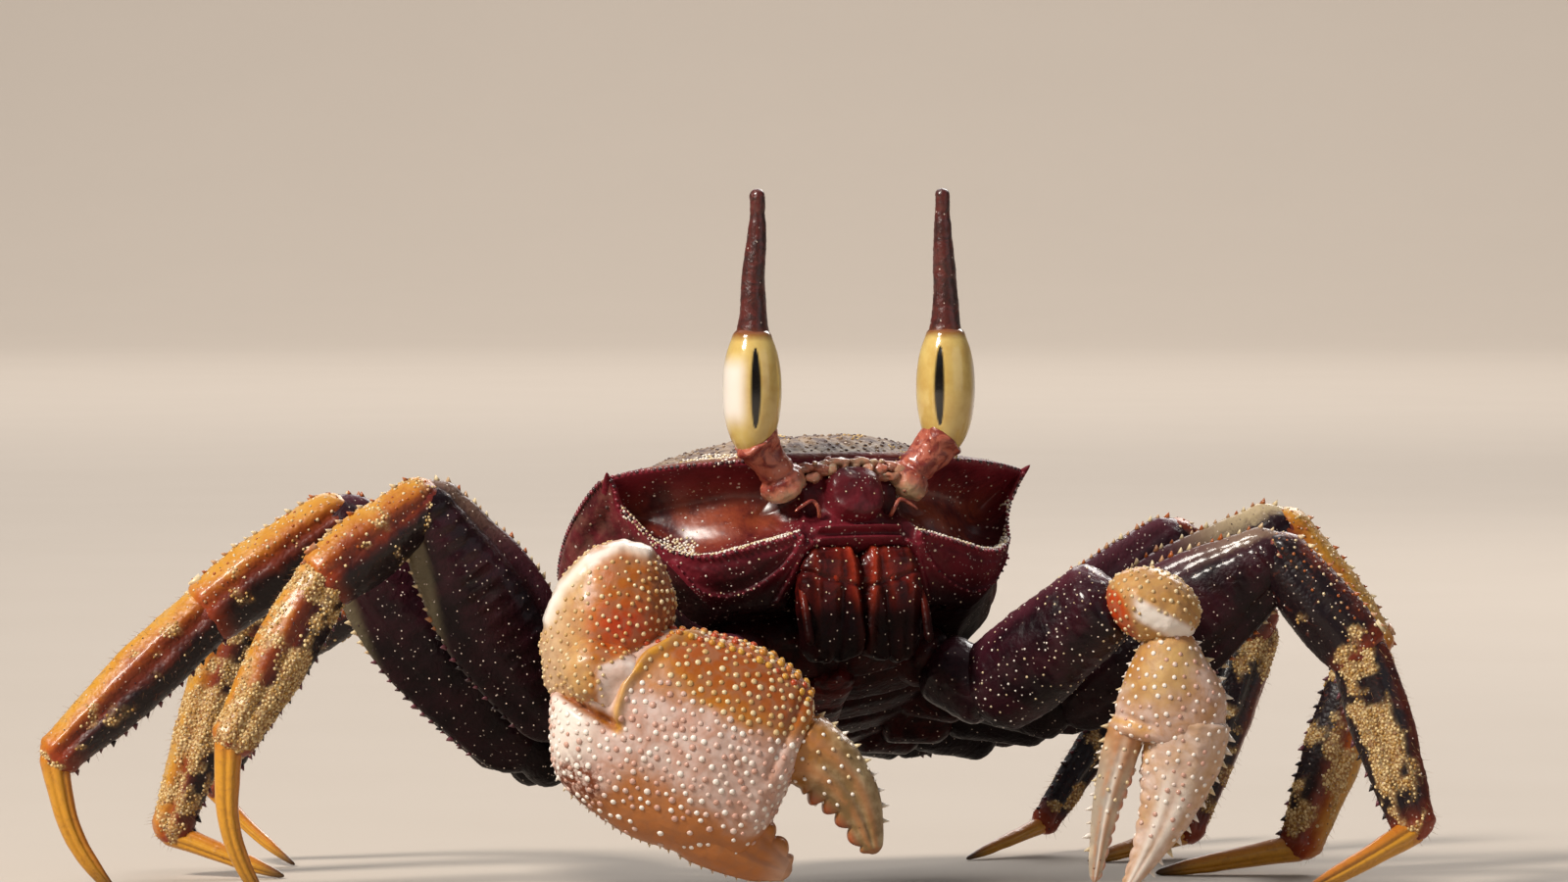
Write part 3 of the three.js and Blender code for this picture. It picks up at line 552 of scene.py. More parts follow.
class Wire:
    """A socket in a finish's node tree that takes part in sums."""

    def __init__(self, paint, socket):
        self.paint, self.socket = paint, socket

    def sum(self, operation, *others):
        return self.paint.node("ShaderNodeMath", {"operation": operation}, dict(enumerate(others)))

    def __add__(self, other):
        return self.sum("ADD", self, other)

    __radd__ = __add__

    def __mul__(self, other):
        return self.sum("MULTIPLY", self, other)

    __rmul__ = __mul__

    def __sub__(self, other):
        return self.sum("SUBTRACT", self, other)

    def __rsub__(self, other):
        return self.sum("SUBTRACT", other, self)

    def between(self, low, high):
        """0 below low, 1 above high, eased between."""
        span = {"interpolation_type": "SMOOTHSTEP", "clamp": True}
        flip = low > high
        wire = self.paint.node("ShaderNodeMapRange", span, {
            "Value": self, "From Min": min(low, high), "From Max": max(low, high)}, "Result")
        return 1 - wire if flip else wire


class Paint:
    """One finish: a material whose nodes all come from the node method."""

    def __init__(self, name):
        self.material = bpy.data.materials.new(name)
        self.material.use_nodes = True
        self.tree = self.material.node_tree
        self.tree.nodes.clear()
        self.place = self.node("ShaderNodeTexCoord", output="Object")

    def node(self, kind, settings=(), inputs=(), output=0):
        made = self.tree.nodes.new(kind)
        for key, value in dict(settings).items():
            setattr(made, key, value)
        for key, value in dict(inputs).items():
            if isinstance(value, Wire):
                self.tree.links.new(value.socket, made.inputs[key])
            elif value is not None:
                made.inputs[key].default_value = value
        return Wire(self, made.outputs[output]) if made.outputs else None

    def trait(self, name):
        return self.node("ShaderNodeAttribute", {"attribute_name": name}, output="Fac")

    def noise(self, size, detail, rough=0.55, warp=0.0):
        """Cloudy noise, 0 to 1, its lumps about size millimetres across."""
        return self.node("ShaderNodeTexNoise", (), {
            "Vector": self.place, "Scale": MM / size, "Detail": detail, "Roughness": rough,
            "Distortion": warp}, "Fac")

    def cells(self, size):
        """Distance to the nearest grain centre, in shares of size."""
        return self.node("ShaderNodeTexVoronoi", (), {
            "Vector": self.place, "Scale": MM / size, "Randomness": 1.0}, "Distance")

    def sanded(self, colour, hue):
        """Colour under a crust of sand, as thick as the piece says."""
        crust = self.mix(self.noise(0.3, 2).between(0.4, 0.6), hue.sand, hue.sand_pale)
        crust = self.mix(self.cells(0.34).between(0.3, 0.7) * 0.6, crust, hue.dirt)
        return self.mix(self.trait("sand") * 0.85, colour, crust)

    def dotted(self, colour, ink, size, far, near, share):
        """Colour with dots of ink about size apart. far and near bound each dot's soft edge."""
        return self.mix(self.cells(size).between(far, near) * share, colour, ink)

    def layered(self, colour, *layers):
        """Colour under layers of ink, each (share, ink)."""
        for share, ink in layers:
            colour = self.mix(share, colour, ink)
        return colour

    def mix(self, factor, a, b):
        made = self.tree.nodes.new("ShaderNodeMix")
        made.data_type = "RGBA"
        for key, value in (("Factor_Float", factor), ("A_Color", a), ("B_Color", b)):
            socket = next(s for s in made.inputs if s.identifier == key)
            if isinstance(value, Wire):
                self.tree.links.new(value.socket, socket)
            elif isinstance(value, (int, float)):
                socket.default_value = value
            else:
                socket.default_value = (*value[:3], 1)
        return Wire(self, next(s for s in made.outputs if s.identifier == "Result_Color"))

    def finish(self, colour, rough, bumps, coat=0.0, coat_rough=0.08, soft=0.0,
               depths=(1.0, 0.5, 0.3), shine=0.5):
        """Ends the tree in a surface. bumps are (height, millimetres) pairs, coarse to fine; soft is how far
        light sinks in, and depths the share of that for red, green and blue."""
        normal = None
        for height, depth in bumps:
            inputs = {"Height": height, "Distance": depth / MM, "Strength": 1.0}
            if normal:
                inputs["Normal"] = normal
            normal = self.node("ShaderNodeBump", (), inputs)
        values = {"Base Color": colour if isinstance(colour, Wire) else (*colour, 1), "Roughness": rough,
                  "Coat Weight": coat, "Coat Roughness": coat_rough, "Specular IOR Level": shine}
        if normal:
            values["Normal"] = normal
        if soft:
            values |= {"Subsurface Weight": soft, "Subsurface Scale": 0.001, "Subsurface Radius": depths}
        surface = self.node("ShaderNodeBsdfPrincipled", (), values)
        self.node("ShaderNodeOutputMaterial", (), {"Surface": surface})
        return self.material


def tone(code):
    """A screen colour, written in hex, as linear light."""
    parts = [int(code[i:i + 2], 16) / 255 for i in (0, 2, 4)]
    return tuple(c / 12.92 if c <= 0.04045 else ((c + 0.055) / 1.055) ** 2.4 for c in parts)


def plate_finish(paint, hue):
    """Maroon face, greyer back: finely grained, with pale specks, a wet gloss, painted shade below and in
    the orbits.
    """
    blotch = paint.noise(7.0, 4, 0.6, 0.5)
    mottle = paint.noise(2.2, 5, 0.65)
    hollow = paint.trait("hollow")
    front = paint.layered(
        hue.plate, (blotch.between(0.35, 0.68), hue.plate_deep),
        (paint.trait("ridge") * 0.75, hue.plate_edge),
        (hollow * (blotch + 0.3 * mottle).between(0.85, 0.5), hue.plate_hollow),
        # painted shade: darker patches inside the orbits
        (hollow * mottle.between(0.45, 0.7) * 0.6, hue.plate_deep))
    back = paint.mix(mottle.between(0.4, 0.62), hue.back, hue.back_deep)
    colour = paint.mix(paint.trait("face"), back, front)
    # painted shade: near-black where the low trait says, down the walls and under the face
    colour = paint.mix(paint.trait("low") * 0.92, colour, hue.shade)
    speck = paint.cells(1.15).between(0.17, 0.08) * paint.noise(3.0, 2).between(0.46, 0.6)
    dust = paint.cells(0.5).between(0.2, 0.1) * paint.noise(4.0, 3).between(0.47, 0.62)
    colour = paint.mix((speck + dust * 0.7) * (1 - hollow * 0.7), colour, hue.speck)
    rough = 0.3 + 0.22 * mottle + 0.2 * (1 - paint.trait("face")) + 0.15 * speck
    coat = 0.08 * (1 - paint.trait("low")) + 0.6 * paint.trait("gloss")
    bumps = [(paint.noise(1.6, 4), 0.12), (1 - paint.cells(0.55), 0.05)]
    return paint.finish(colour, rough, bumps, coat, 0.26, shine=0.12)


def thigh_finish(paint, hue):
    """Dark plum with cross striations and pale dots, and painted shade where the piece is low."""
    streak = paint.noise(1.0, 4, 0.6, 1.2)
    blotch = paint.noise(5.0, 4)
    crest = paint.trait("crest") * (paint.trait("edge") + 0.4 * streak).between(0.75, 1.1)
    colour = paint.layered(
        hue.thigh, (blotch.between(0.35, 0.65), hue.thigh_deep),
        (paint.trait("edge").between(0.5, 0.98) * 0.5, hue.thigh_edge), (crest, hue.cream),
        # the last layer is painted shade, near-black where the piece is low
        (paint.trait("band") * (0.6 + 0.4 * streak), hue.band), (paint.trait("low") * 0.85, hue.shade))
    colour = paint.sanded(colour, hue)
    colour = paint.dotted(colour, hue.speck, 0.75, 0.15, 0.07, 0.9 * paint.noise(2.6, 2).between(0.42, 0.58))
    rough = 0.28 + 0.25 * streak + 0.2 * crest + 0.3 * paint.trait("sand")
    return paint.finish(colour, rough, [(streak, 0.16), (1 - paint.cells(0.6), 0.05)],
                        0.3 - 0.3 * paint.trait("low"), 0.12, shine=0.12)


def shank_finish(paint, hue):
    """Golden above, orange and then plum-brown beneath."""
    streak = paint.noise(0.9, 4, 0.6, 1.0)
    blotch = paint.noise(3.4, 4, 0.6, 0.6)
    edge = paint.trait("edge") + 0.9 * (blotch - 0.5) - paint.trait("dark")
    colour = paint.layered(
        hue.thigh_deep, (edge.between(-0.75, -0.15), hue.shank_deep), (edge.between(-0.3, 0.35), hue.shank),
        (edge.between(-0.05, 0.6) * 0.85, hue.gold),
        ((edge + streak).between(0.95, 1.45) * 0.85, hue.straw),
        (paint.trait("along").between(0.8, 0.98) * 0.5, hue.joint),
        (streak.between(0.56, 0.8) * 0.5, hue.shank_deep))
    colour = paint.dotted(colour, hue.speck, 0.8, 0.16, 0.07, 0.7 * paint.noise(2.0, 2).between(0.44, 0.6))
    colour = paint.sanded(colour, hue)
    rough = 0.3 + 0.28 * streak + 0.3 * paint.trait("sand")
    return paint.finish(colour, rough, [(blotch, 0.15), (1 - paint.cells(0.5), 0.06)], 0.2, 0.15, shine=0.3)


def toe_finish(paint, hue):
    """Horny yellow, brown along its grooves and at the point."""
    streak = paint.noise(0.8, 3, 0.6, 0.8)
    along = paint.trait("along")
    colour = paint.layered(
        hue.toe, (streak.between(0.45, 0.8) * 0.35, hue.shank_deep),
        (paint.trait("edge").between(-0.2, -0.9) * 0.45, hue.joint),
        (along.between(0.7, 1.0) * 0.9, hue.thigh_deep), (along.between(0.2, 0.0) * 0.5, hue.joint))
    return paint.finish(colour, 0.26 + 0.22 * streak, [(streak, 0.08)], 0.3, 0.12)


def claw_finish(paint, hue):
    """Pinkish cream, with the piece's own warm, peach and pale places, and dark brown places that are partly
    dirt and partly painted shade.
    """
    cloudy = paint.noise(2.6, 4, 0.6, 0.4)
    fine = paint.noise(0.7, 4, 0.6)
    drift = 0.5 * (cloudy - 0.5)
    warm = paint.trait("warm") + 0.55 * (cloudy - 0.5)
    net = paint.cells(1.15).between(0.35, 0.75) * (1 - paint.trait("pale"))
    # dark brown where the piece says: painted shade in the palm's cleft, and darker brown low near the wrist
    # and on the knob's right side
    grime_and_shade = paint.trait("dirt") * fine.between(0.38, 0.55)
    colour = paint.layered(
        hue.claw, (cloudy.between(0.35, 0.7), hue.claw_pink),
        ((paint.trait("peach") + drift).between(0.2, 0.8), hue.claw_peach),
        ((paint.trait("straw") + drift).between(0.2, 0.7), hue.straw),
        (warm.between(0.05, 0.65), hue.claw_tan), (warm.between(0.5, 1.1) * 0.95, hue.claw_orange),
        (paint.trait("amber"), hue.gold), (paint.trait("red"), hue.claw_red),
        (paint.trait("pale"), hue.white), (net * (0.28 + 0.3 * paint.trait("warm")), hue.claw_net),
        (grime_and_shade, hue.dirt))
    rough = 0.36 + 0.2 * fine + 0.3 * grime_and_shade - 0.12 * paint.trait("pale")
    return paint.finish(colour, rough, [(cloudy, 0.12), (fine, 0.05)], 0.2, 0.15, 0.03, shine=0.35)


def finger_finish(paint, hue):
    """Ivory with fine dark pits, warmer at the root, brown at the biting teeth."""
    cloudy = paint.noise(2.4, 4)
    pits = paint.cells(0.95).between(0.13, 0.06) * paint.noise(2.0, 2).between(0.4, 0.55)
    along = paint.trait("along")
    colour = paint.layered(
        hue.finger, (cloudy.between(0.4, 0.75) * 0.6, hue.cream), (paint.trait("pale"), hue.white),
        (along.between(0.4, 0.0) * 0.75, hue.claw_tan),
        (paint.trait("stripe") * cloudy.between(0.3, 0.55) * 0.6, hue.claw_peach),
        (paint.trait("bite") * 0.7, hue.joint), (pits * 0.8, hue.dirt))
    return paint.finish(colour, 0.28 + 0.2 * cloudy, [(1 - pits, 0.1), (cloudy, 0.1)], 0.3, 0.1, 0.05,
                        (1.0, 0.6, 0.4))


def granule_finish(light, dark):
    """Little domes and teeth, each from light to dark by its own chance."""
    def make(paint, hue):
        tint = paint.trait("tint")
        wear = paint.noise(0.4, 2)
        share = (tint + 0.3 * (wear - 0.5)).between(0.25, 0.8)
        colour = paint.mix(share, getattr(hue, light), getattr(hue, dark))
        return paint.finish(colour, 0.3 + 0.25 * wear, [(wear, 0.03)], 0.25, 0.12)
    return make


def sand_finish(paint, hue):
    """Quartz, shell and dark mineral grains."""
    tint = paint.trait("tint")
    colour = paint.layered(
        hue.sand, (tint.between(0.1, 0.75), hue.sand_pale), (tint.between(0.93, 0.97) * 0.8, hue.dirt))
    return paint.finish(colour, 0.55 + 0.3 * paint.noise(0.2, 2), [(paint.noise(0.15, 2), 0.02)])


def hair_finish(paint, hue):
    """Short stiff bristles, straw to brown."""
    colour = paint.mix(paint.trait("tint"), hue.hair, hue.shank_deep)
    return paint.finish(colour, 0.45 + 0.2 * paint.noise(0.6, 2), [(paint.noise(0.2, 2), 0.01)])


def stalk_finish(paint, hue):
    """Flesh pink with orange and cream tissue."""
    cloudy = paint.noise(1.5, 4, 0.6, 0.8)
    fine = paint.noise(0.5, 3)
    colour = paint.layered(
        hue.stalk, (cloudy.between(0.4, 0.62), hue.stalk_deep),
        (paint.trait("pale") * (cloudy + 0.3).between(0.5, 0.9), hue.cream))
    colour = paint.dotted(colour, hue.speck, 0.9, 0.14, 0.06, 0.7)
    return paint.finish(colour, 0.26 + 0.24 * fine, [(cloudy, 0.2), (fine, 0.05)], 0.4, 0.1, 0.12,
                        (1.0, 0.35, 0.25))


def cornea_finish(paint, hue):
    """Tan-yellow, white on the flank, amber at both ends, with one upright dark slit."""
    cloudy = paint.noise(1.8, 3)
    colour = paint.layered(
        hue.cornea, (cloudy.between(0.3, 0.75) * 0.5, hue.cornea_deep), (paint.trait("flank"), hue.white),
        (paint.trait("ring"), hue.cornea_deep),
        ((paint.trait("cap") + 0.3 * (cloudy - 0.5)).between(0.2, 0.9), hue.cornea_cap),
        (paint.trait("slit"), hue.slit))
    facets = paint.cells(0.16)
    return paint.finish(colour, 0.12 + 0.1 * cloudy, [(facets, 0.004), (cloudy, 0.04)], 0.8, 0.04, 0.05,
                        (1.0, 0.7, 0.4))


def horn_finish(paint, hue):
    """Dark reddish brown, glossy, dusted with specks."""
    cloudy = paint.noise(1.6, 4, 0.6, 1.0)
    colour = paint.layered(
        hue.horn, (cloudy.between(0.35, 0.65), hue.horn_deep),
        (paint.trait("along").between(0.1, 0.0) * 0.7, hue.cornea_cap))
    colour = paint.dotted(colour, hue.speck, 0.9, 0.13, 0.06, 0.7)
    bumps = [(cloudy, 0.15), (1 - paint.cells(0.4), 0.04)]
    return paint.finish(colour, 0.3 + 0.2 * cloudy, bumps, 0.35, 0.12)


def mouth_finish(paint, hue):
    """Dark blood red, brighter along the raised ridges, where that red is partly a painted highlight, and
    painted shade on the low side.
    """
    cloudy = paint.noise(2.0, 4, 0.6, 0.8)
    colour = paint.layered(
        hue.mouth_deep, (cloudy.between(0.35, 0.65), hue.mouth),
        # the ridges' own red, brightened further as a painted highlight
        (paint.trait("ridge") * (0.5 + 0.5 * cloudy), hue.mouth_ridge_and_highlight),
        # painted shade towards the piece's low side
        (paint.trait("low") * 0.95, hue.shade))
    colour = paint.dotted(colour, hue.speck, 0.8, 0.14, 0.06, 0.8)
    return paint.finish(colour, 0.28 + 0.2 * cloudy, [(cloudy, 0.15), (1 - paint.cells(0.5), 0.04)],
                        0.25 - 0.25 * paint.trait("low"), 0.1, shine=0.08)


def membrane_finish(paint, hue):
    """Soft wrinkled skin of the joints."""
    folds = paint.noise(0.7, 3, 0.5, 2.0)
    colour = paint.mix(folds.between(0.35, 0.65), hue.stalk_deep, hue.shank_deep)
    return paint.finish(colour, 0.4 + 0.2 * folds, [(folds, 0.15)])


def floor_finish(paint, hue):
    """Plain pale ground."""
    cloudy = paint.noise(60.0, 3)
    colour = paint.mix(cloudy, hue.floor, tuple(0.97 * part for part in hue.floor))
    return paint.finish(colour, 0.75 + 0.1 * cloudy, [(paint.noise(1.2, 3), 0.03)])


FINISHES = {
    "Plate": plate_finish, "Thigh": thigh_finish, "Shank": shank_finish, "Toe": toe_finish,
    "Claw": claw_finish, "Finger": finger_finish, "Stalk": stalk_finish, "Cornea": cornea_finish,
    "Horn": horn_finish, "Mouth": mouth_finish, "Membrane": membrane_finish, "Sand": sand_finish,
    "Hair": hair_finish, "Floor": floor_finish,
    "Pale granules": granule_finish("white", "cream"),
    "Claw granules": granule_finish("white", "claw_pink"),
    "Warm granules": granule_finish("cream", "straw"),
    "Leg granules": granule_finish("cream", "shank"),
    "Red granules": granule_finish("gold", "joint"),
    "Dark granules": granule_finish("plate_edge", "plate_deep"),
    "Plum granules": granule_finish("thigh_edge", "thigh_deep"),
    "Dull granules": granule_finish("speck", "thigh"),
    "Back granules": granule_finish("back", "back_deep"),
}


def finish(name):
    """The finish of that name, made the first time it is asked for."""
    made = bpy.data.materials.get(name)
    if made:
        return made
    return FINISHES[name](Paint(name), bpy.context.scene.crab_hues)


# ---- shell


def mirrored(numbers, side):
    return (side * numbers[0], *numbers[1:])


def front_y(x):
    return SHELL["front_mid"] + SHELL["front_sweep"] * abs(np.asarray(x) / SHELL["tooth_x"]) ** 2.3


def face_y(x, z):
    low = SHELL["chin_z"] - z
    sweep = ease((SHELL["sweep_top"] - z) / SHELL["sweep_run"]) * (1 - ease(low / SHELL["sweep_fade"]))
    sweep = sweep * abs(np.asarray(x) / SHELL["tooth_x"]) ** 4
    return front_y(x) + SHELL["orbit_sweep"] * sweep + SHELL["chin_fall"] * ease(low / SHELL["chin_run"])


def shell_outline(y, angle):
    """The shell's outline at y: angles to pi are the back, the rest the walls."""
    breadth, margin = through(SHELL["half_width"], y), through(SHELL["margin_z"], y)
    across, up = np.cos(angle), np.sin(angle)
    behind = np.sin(clamp((y - front_y(breadth * across)) / 11) * np.pi / 2)
    crown = SHELL["crown"] * behind * (1 - clamp(y / SHELL["back"]) ** 3)
    top_z = margin + crown * (1 - abs(across) ** 2.4)
    drop = abs(up) ** 0.6
    cheek = SHELL["cheek_tuck"] * ease((-1 - y) / 9) * np.sin(clamp(drop / 0.42) * np.pi / 2)
    tuck = 1 - cheek - SHELL["lower_tuck"] * up**2 * (1 - cheek)
    low_x = breadth * signed_power(across, 0.4) * tuck
    low_z = margin - (margin - SHELL["floor"] + 2) * drop
    return np.where(up >= 0, breadth * across, low_x), np.where(up >= 0, top_z, low_z)


def shell_rim(angle):
    y = np.full_like(angle, SHELL["front_mid"])
    for _ in range(5):
        y = face_y(*shell_outline(y, angle))
    return y


# Grooves that part the regions of the back: their lines, widths and depths.
GROOVES = (
    ([(4.2, -9), (5.2, -4), (4.0, 0.5), (4.6, 5), (3.4, 10)], 0.75, 1.0),
    ([(5.2, -4), (9.5, -6.5), (15, -7.5), (21, -6)], 0.8, 0.7),
    ([(0, 1.2), (4.2, 0.6)], 0.6, 0.6),
    ([(4.6, 5), (9, 6.5), (13, 11)], 0.8, 0.5),
    ([(2.4, -18), (1.6, -12)], 0.6, 0.5),
)


def back_grooves(x, y):
    return np.max([deep * along_line(abs(x), y, stops, width) for stops, width, deep in GROOVES], axis=0)


@lru_cache(maxsize=None)
def face_edge():
    """Heights up the face's outer edge, and how far out it lies at each."""
    angle = np.linspace(-np.pi / 2, 0.0, 900)
    x, z = shell_outline(shell_rim(angle), angle)
    order = np.argsort(z)
    return z[order], x[order]


def shell_form():
    """The back, side walls and hind wall; its front lies behind the face plate."""
    fine = np.linspace(0, 2 * np.pi, 6001)
    x, z = shell_outline(np.full_like(fine, -6.0), fine)
    reach = np.concatenate([[0], np.cumsum(np.hypot(np.diff(x), np.diff(z)))])
    angle = np.interp(np.linspace(0, reach[-1], 470, endpoint=False), reach, fine)
    rim = shell_rim(angle)
    rows, behind = [], []
    rim_x, rim_z = shell_outline(rim, angle)
    for share in (0.04, 0.3, 0.6, 0.85, 0.95, 0.99):
        hollow = 8.5 * math.sqrt(1 - share**6)
        x, z = rim_x * share, rim_z * share
        rows.append(np.stack([x, face_y(x, z) + hollow, z], -1))
        behind.append(np.zeros_like(angle))
    for t in np.linspace(0, 1, 104) ** 1.25:
        y = rim + (SHELL["back"] - rim) * t
        x, z = shell_outline(y, angle)
        rows.append(np.stack([x, y, z], -1))
        behind.append(y - rim)
    for share in np.linspace(1, 0.03, 14)[1:]:
        x, z = shell_outline(np.full_like(angle, SHELL["back"]), angle)
        y = SHELL["back"] + 2.2 * (1 - share**2)
        rows.append(np.stack([x * share, y + 0 * x, -3 + (z + 3) * share], -1))
        behind.append(y - rim)
    grid, behind = np.array(rows), np.array(behind)
    grid[..., 2] = np.maximum(grid[..., 2], SHELL["floor"])
    upper = ease(np.sin(angle) * 3 + 0.2)[None, :] * (behind > 0)
    # low: painted shade, darker down the side walls
    form = wrapped(grid, face=np.exp(-behind / 0.6) * (behind >= 0) * 0.9, upper=upper,
                   low=ease((2.5 - grid[..., 2]) / 11) * (1 - upper), behind=behind)
    form.swell(shell_relief(form))
    upper, rear = form.traits["upper"], form.traits["behind"]
    face = np.maximum(form.traits["face"], (1 - upper) * 0.85)
    return form.wear(face=face, ridge=bell(rear - 0.4, 0.5) * 0.8)


def shell_relief(form):
    """Height of the back's grooves and grain and of the wall's beading."""
    x, y, z = form.points.T
    upper, rear = form.traits["upper"], form.traits["behind"]
    height = -0.42 * back_grooves(x, y) * upper + 0.22 * cloud(form.points, 5.5, 3) * upper * ease(rear / 3)
    height += 0.14 * pebbles(form.points, 0.95, 2) * ease(rear / 1.0) * (0.45 + 0.55 * upper)
    height += 0.35 * bell(rear - 0.55, 0.5) * upper
    wall = (1 - upper) * ease((rear - 0.5) / 2)
    margin = through(SHELL["margin_z"], y)
    height += wall * (0.3 * bell(z - margin + 1.2, 0.7) - 0.28 * bell(z - margin + 3.2 + 0.06 * y, 0.5))
    return height + wall * 0.12 * np.sin((z + 0.25 * y) * 2.6) * ease((margin - z - 3) / 3)


# Outlines and ridges of the face's one half, as (out, up) in the shell's frame.
ORBIT = [
    (24.3, 6.2), (23.5, 4.7), (22.4, 2.7), (21.8, 1.0), (20.8, -1.4), (19.6, -3.0), (18.0, -4.0),
    (15.9, -4.3), (12.7, -4.1), (9.7, -3.7), (7.2, -3.2), (5.7, -1.4), (5.4, 1.2), (6.4, 3.6), (8.9, 4.6),
    (11.1, 5.1), (14.0, 5.5), (16.7, 5.8), (19.5, 6.0), (22.4, 6.3),
]
INFRAORBITAL = [
    (24.9, 6.4), (24.0, 4.7), (22.9, 2.7), (22.3, 1.0), (21.2, -1.5), (20.0, -3.1), (18.1, -4.4),
    (15.9, -4.8), (12.9, -4.6), (9.7, -4.2), (7.1, -3.8),
]
CHEEK_RIDGE = [
    (20.0, -4.4), (19.3, -5.6), (18.2, -7.2), (16.4, -8.2), (14.5, -8.6), (12.7, -8.4), (10.9, -7.8),
    (9.1, -6.8), (7.7, -5.5), (7.0, -4.3),
]
MOUTH_RIDGE = [(5.7, -4.6), (6.8, -5.2), (7.7, -7.1), (9.0, -9.4)]


def inside(x, z, corners):
    """How far points lie inside a closed outline; negative outside."""
    nearest = off_line(x, z, corners + corners[:1])
    within = np.zeros(x.shape, bool)
    for (ax, az), (bx, bz) in zip(corners, corners[1:] + corners[:1]):
        crosses = (az > z) != (bz > z)
        within ^= crosses & (x < (bx - ax) * (z - az) / (bz - az + 1e-12) + ax)
    return np.where(within, nearest, -nearest)


def face_relief(x, z):
    """How far each point of the face stands proud of its base, and its traits."""
    a = abs(x)
    room = inside(a, z, ORBIT)
    depth = clamp(room * (1 + 0.9 * ease((z - 1) / 4)) / 4.6)
    out = -4.6 * (1 - (1 - depth) ** 2.2) - 0.3 * ease(room / 0.5)
    out += 1.5 * bell(np.hypot((a - 12) / 3.2, (z + 0.2) / 2.2), 1)
    out += 0.8 * bell(np.hypot(a - 8.4, z + 0.8), 1)
    ridge = along_line(a, z, INFRAORBITAL, 0.42)
    out += 0.5 * ridge + 0.4 * along_line(a, z, INFRAORBITAL[5:], 1.2)
    cheek = along_line(a, z, CHEEK_RIDGE, 0.4)
    out += 0.85 * cheek
    inner = inside(a, z, CHEEK_RIDGE + INFRAORBITAL[:4:-1])
    out += 0.9 * ease(inner / 1.6) * (room < 0)
    brim = along_line(a, z, MOUTH_RIDGE, 0.4)
    out += 0.7 * brim
    mouth = ease((5.8 + np.clip(-4.6 - z, 0, 9) * 0.45 - a) / 0.8) * ease((-4.7 - z) / 0.5)
    out -= 2.2 * mouth
    tier = ease((5.3 - a) / 0.6) * (bell(z + 3.05, 0.3) + 0.9 * bell(z + 4.25, 0.3))
    out += 0.85 * tier * (1 - mouth)
    fossa = bell(np.hypot((a - 4.7) / 1.35, (z + 0.5) / 1.25), 1.0)
    out -= 1.3 * fossa
    plate = (abs(x - 0.1) / 3.25) ** 2.6 + (abs(z - 0.8) / 3.05) ** 2.6
    bulge = clamp(1 - plate) ** 0.6
    lumps = cloud(np.stack([x, 0 * x, z], -1), 1.6, 21)
    out += 1.2 * (1 - ease((plate - 0.7) / 0.45)) + bulge * (1.1 + 0.35 * lumps)
    # the hollow at each eyestalk's foot, used only for painted shade
    socket = bell(np.hypot((a - 7.4) / 2.0, (z - 1.4) / 1.2), 1.0)
    brow = bell(z - 6.3 - 0.02 * (a - 18), 0.5) * ease((a - 6) / 3)
    return out, {
        "ridge": clamp(ridge * 0.8 + cheek + brim + tier * 0.8 + brow * 0.7),
        "hollow": ease(room / 3.2),
        "gloss": np.maximum(ease(room / 1.5), 0.4 * ease(bulge * 3)),
        # low: painted shade below the face, in the eyestalk hollows and the antennal hollows; it also
        # darkens the rostrum's bulge
        "low": clamp(ease((-5.8 - z) / 3.6) * (0.8 + 0.2 * ease((a - 7) / 3)) + 0.8 * socket
                     + 0.7 * fossa + 0.3 * ease(bulge * 2)),
    }


def face_form():
    """The face, with its orbits, ridges and mouth frame."""
    rim_z, rim_x = face_edge()

    def top(x):
        return through(SHELL["margin_z"], front_y(x))

    rows = np.linspace(0, 1, 120)[:, None]
    edge = rim_z[-1] * np.ones_like(rows)
    for _ in range(6):
        reach = np.interp(edge, rim_z, rim_x)
        edge = SHELL["floor"] + rows * (top(reach) - SHELL["floor"])
    across = np.linspace(-1, 1, 380)[None, :]
    x = np.interp(edge, rim_z, rim_x) * across
    z = SHELL["floor"] + rows * (top(x) - SHELL["floor"])
    out, traits = face_relief(x, z)
    rim = ease(np.minimum((1 - abs(across)) / 0.012, (1 - rows) / 0.03))
    spot = np.stack([x, 0 * x, z], -1)
    out = out + 0.07 * pebbles(spot, 0.75, 4) * (1 - traits["hollow"] * 0.8) + 0.1 * cloud(spot, 3.0, 8)
    front = np.stack([x, face_y(x, z) - out * rim, z], -1)
    rear_z = SHELL["floor"] + 0.3 + (z - SHELL["floor"]) * 0.93
    rear = np.stack([x * 0.96, face_y(x, z) + SHELL["plate_thick"], rear_z], -1)
    count = front.shape[0] * front.shape[1]
    index = np.arange(count).reshape(front.shape[:2])
    quads = np.stack([index[:-1, :-1], index[:-1, 1:], index[1:, 1:], index[1:, :-1]], -1).reshape(-1, 4)
    loop = np.concatenate([index[0, :-1], index[:-1, -1], index[-1, :0:-1], index[:0:-1, 0]])
    after = np.roll(loop, -1)
    walls = np.stack([after, loop, loop + count, after + count], -1)
    traits = {key: np.concatenate([value.ravel()] * 2) for key, value in traits.items()}
    return Form(np.concatenate([front.reshape(-1, 3), rear.reshape(-1, 3)]),
                np.concatenate([quads, quads[:, ::-1] + count, walls]),
                face=np.ones(2 * count), **traits).outward()


def in_body(form):
    """Moves a form from the shell's own frame into the crab's."""
    form.points = BODY.place(*form.points.T)
    return form


def shell_teeth():
    """The sharp outer orbital teeth."""
    parts = []
    for _, side in RIGHT_LEFT:
        y = float(front_y(SHELL["tooth_x"]))
        root = (side * (SHELL["tooth_x"] - 1.5), y + 2.6, 5.6)
        end = (side * (SHELL["tooth_x"] + 0.1), y - 1.5, 6.7)
        parts.append(rope([root, np.add(root, end) / 2, end], (1.15, 0.12), 10, 16))
    return together(*parts).wear(face=1, ridge=0.7)


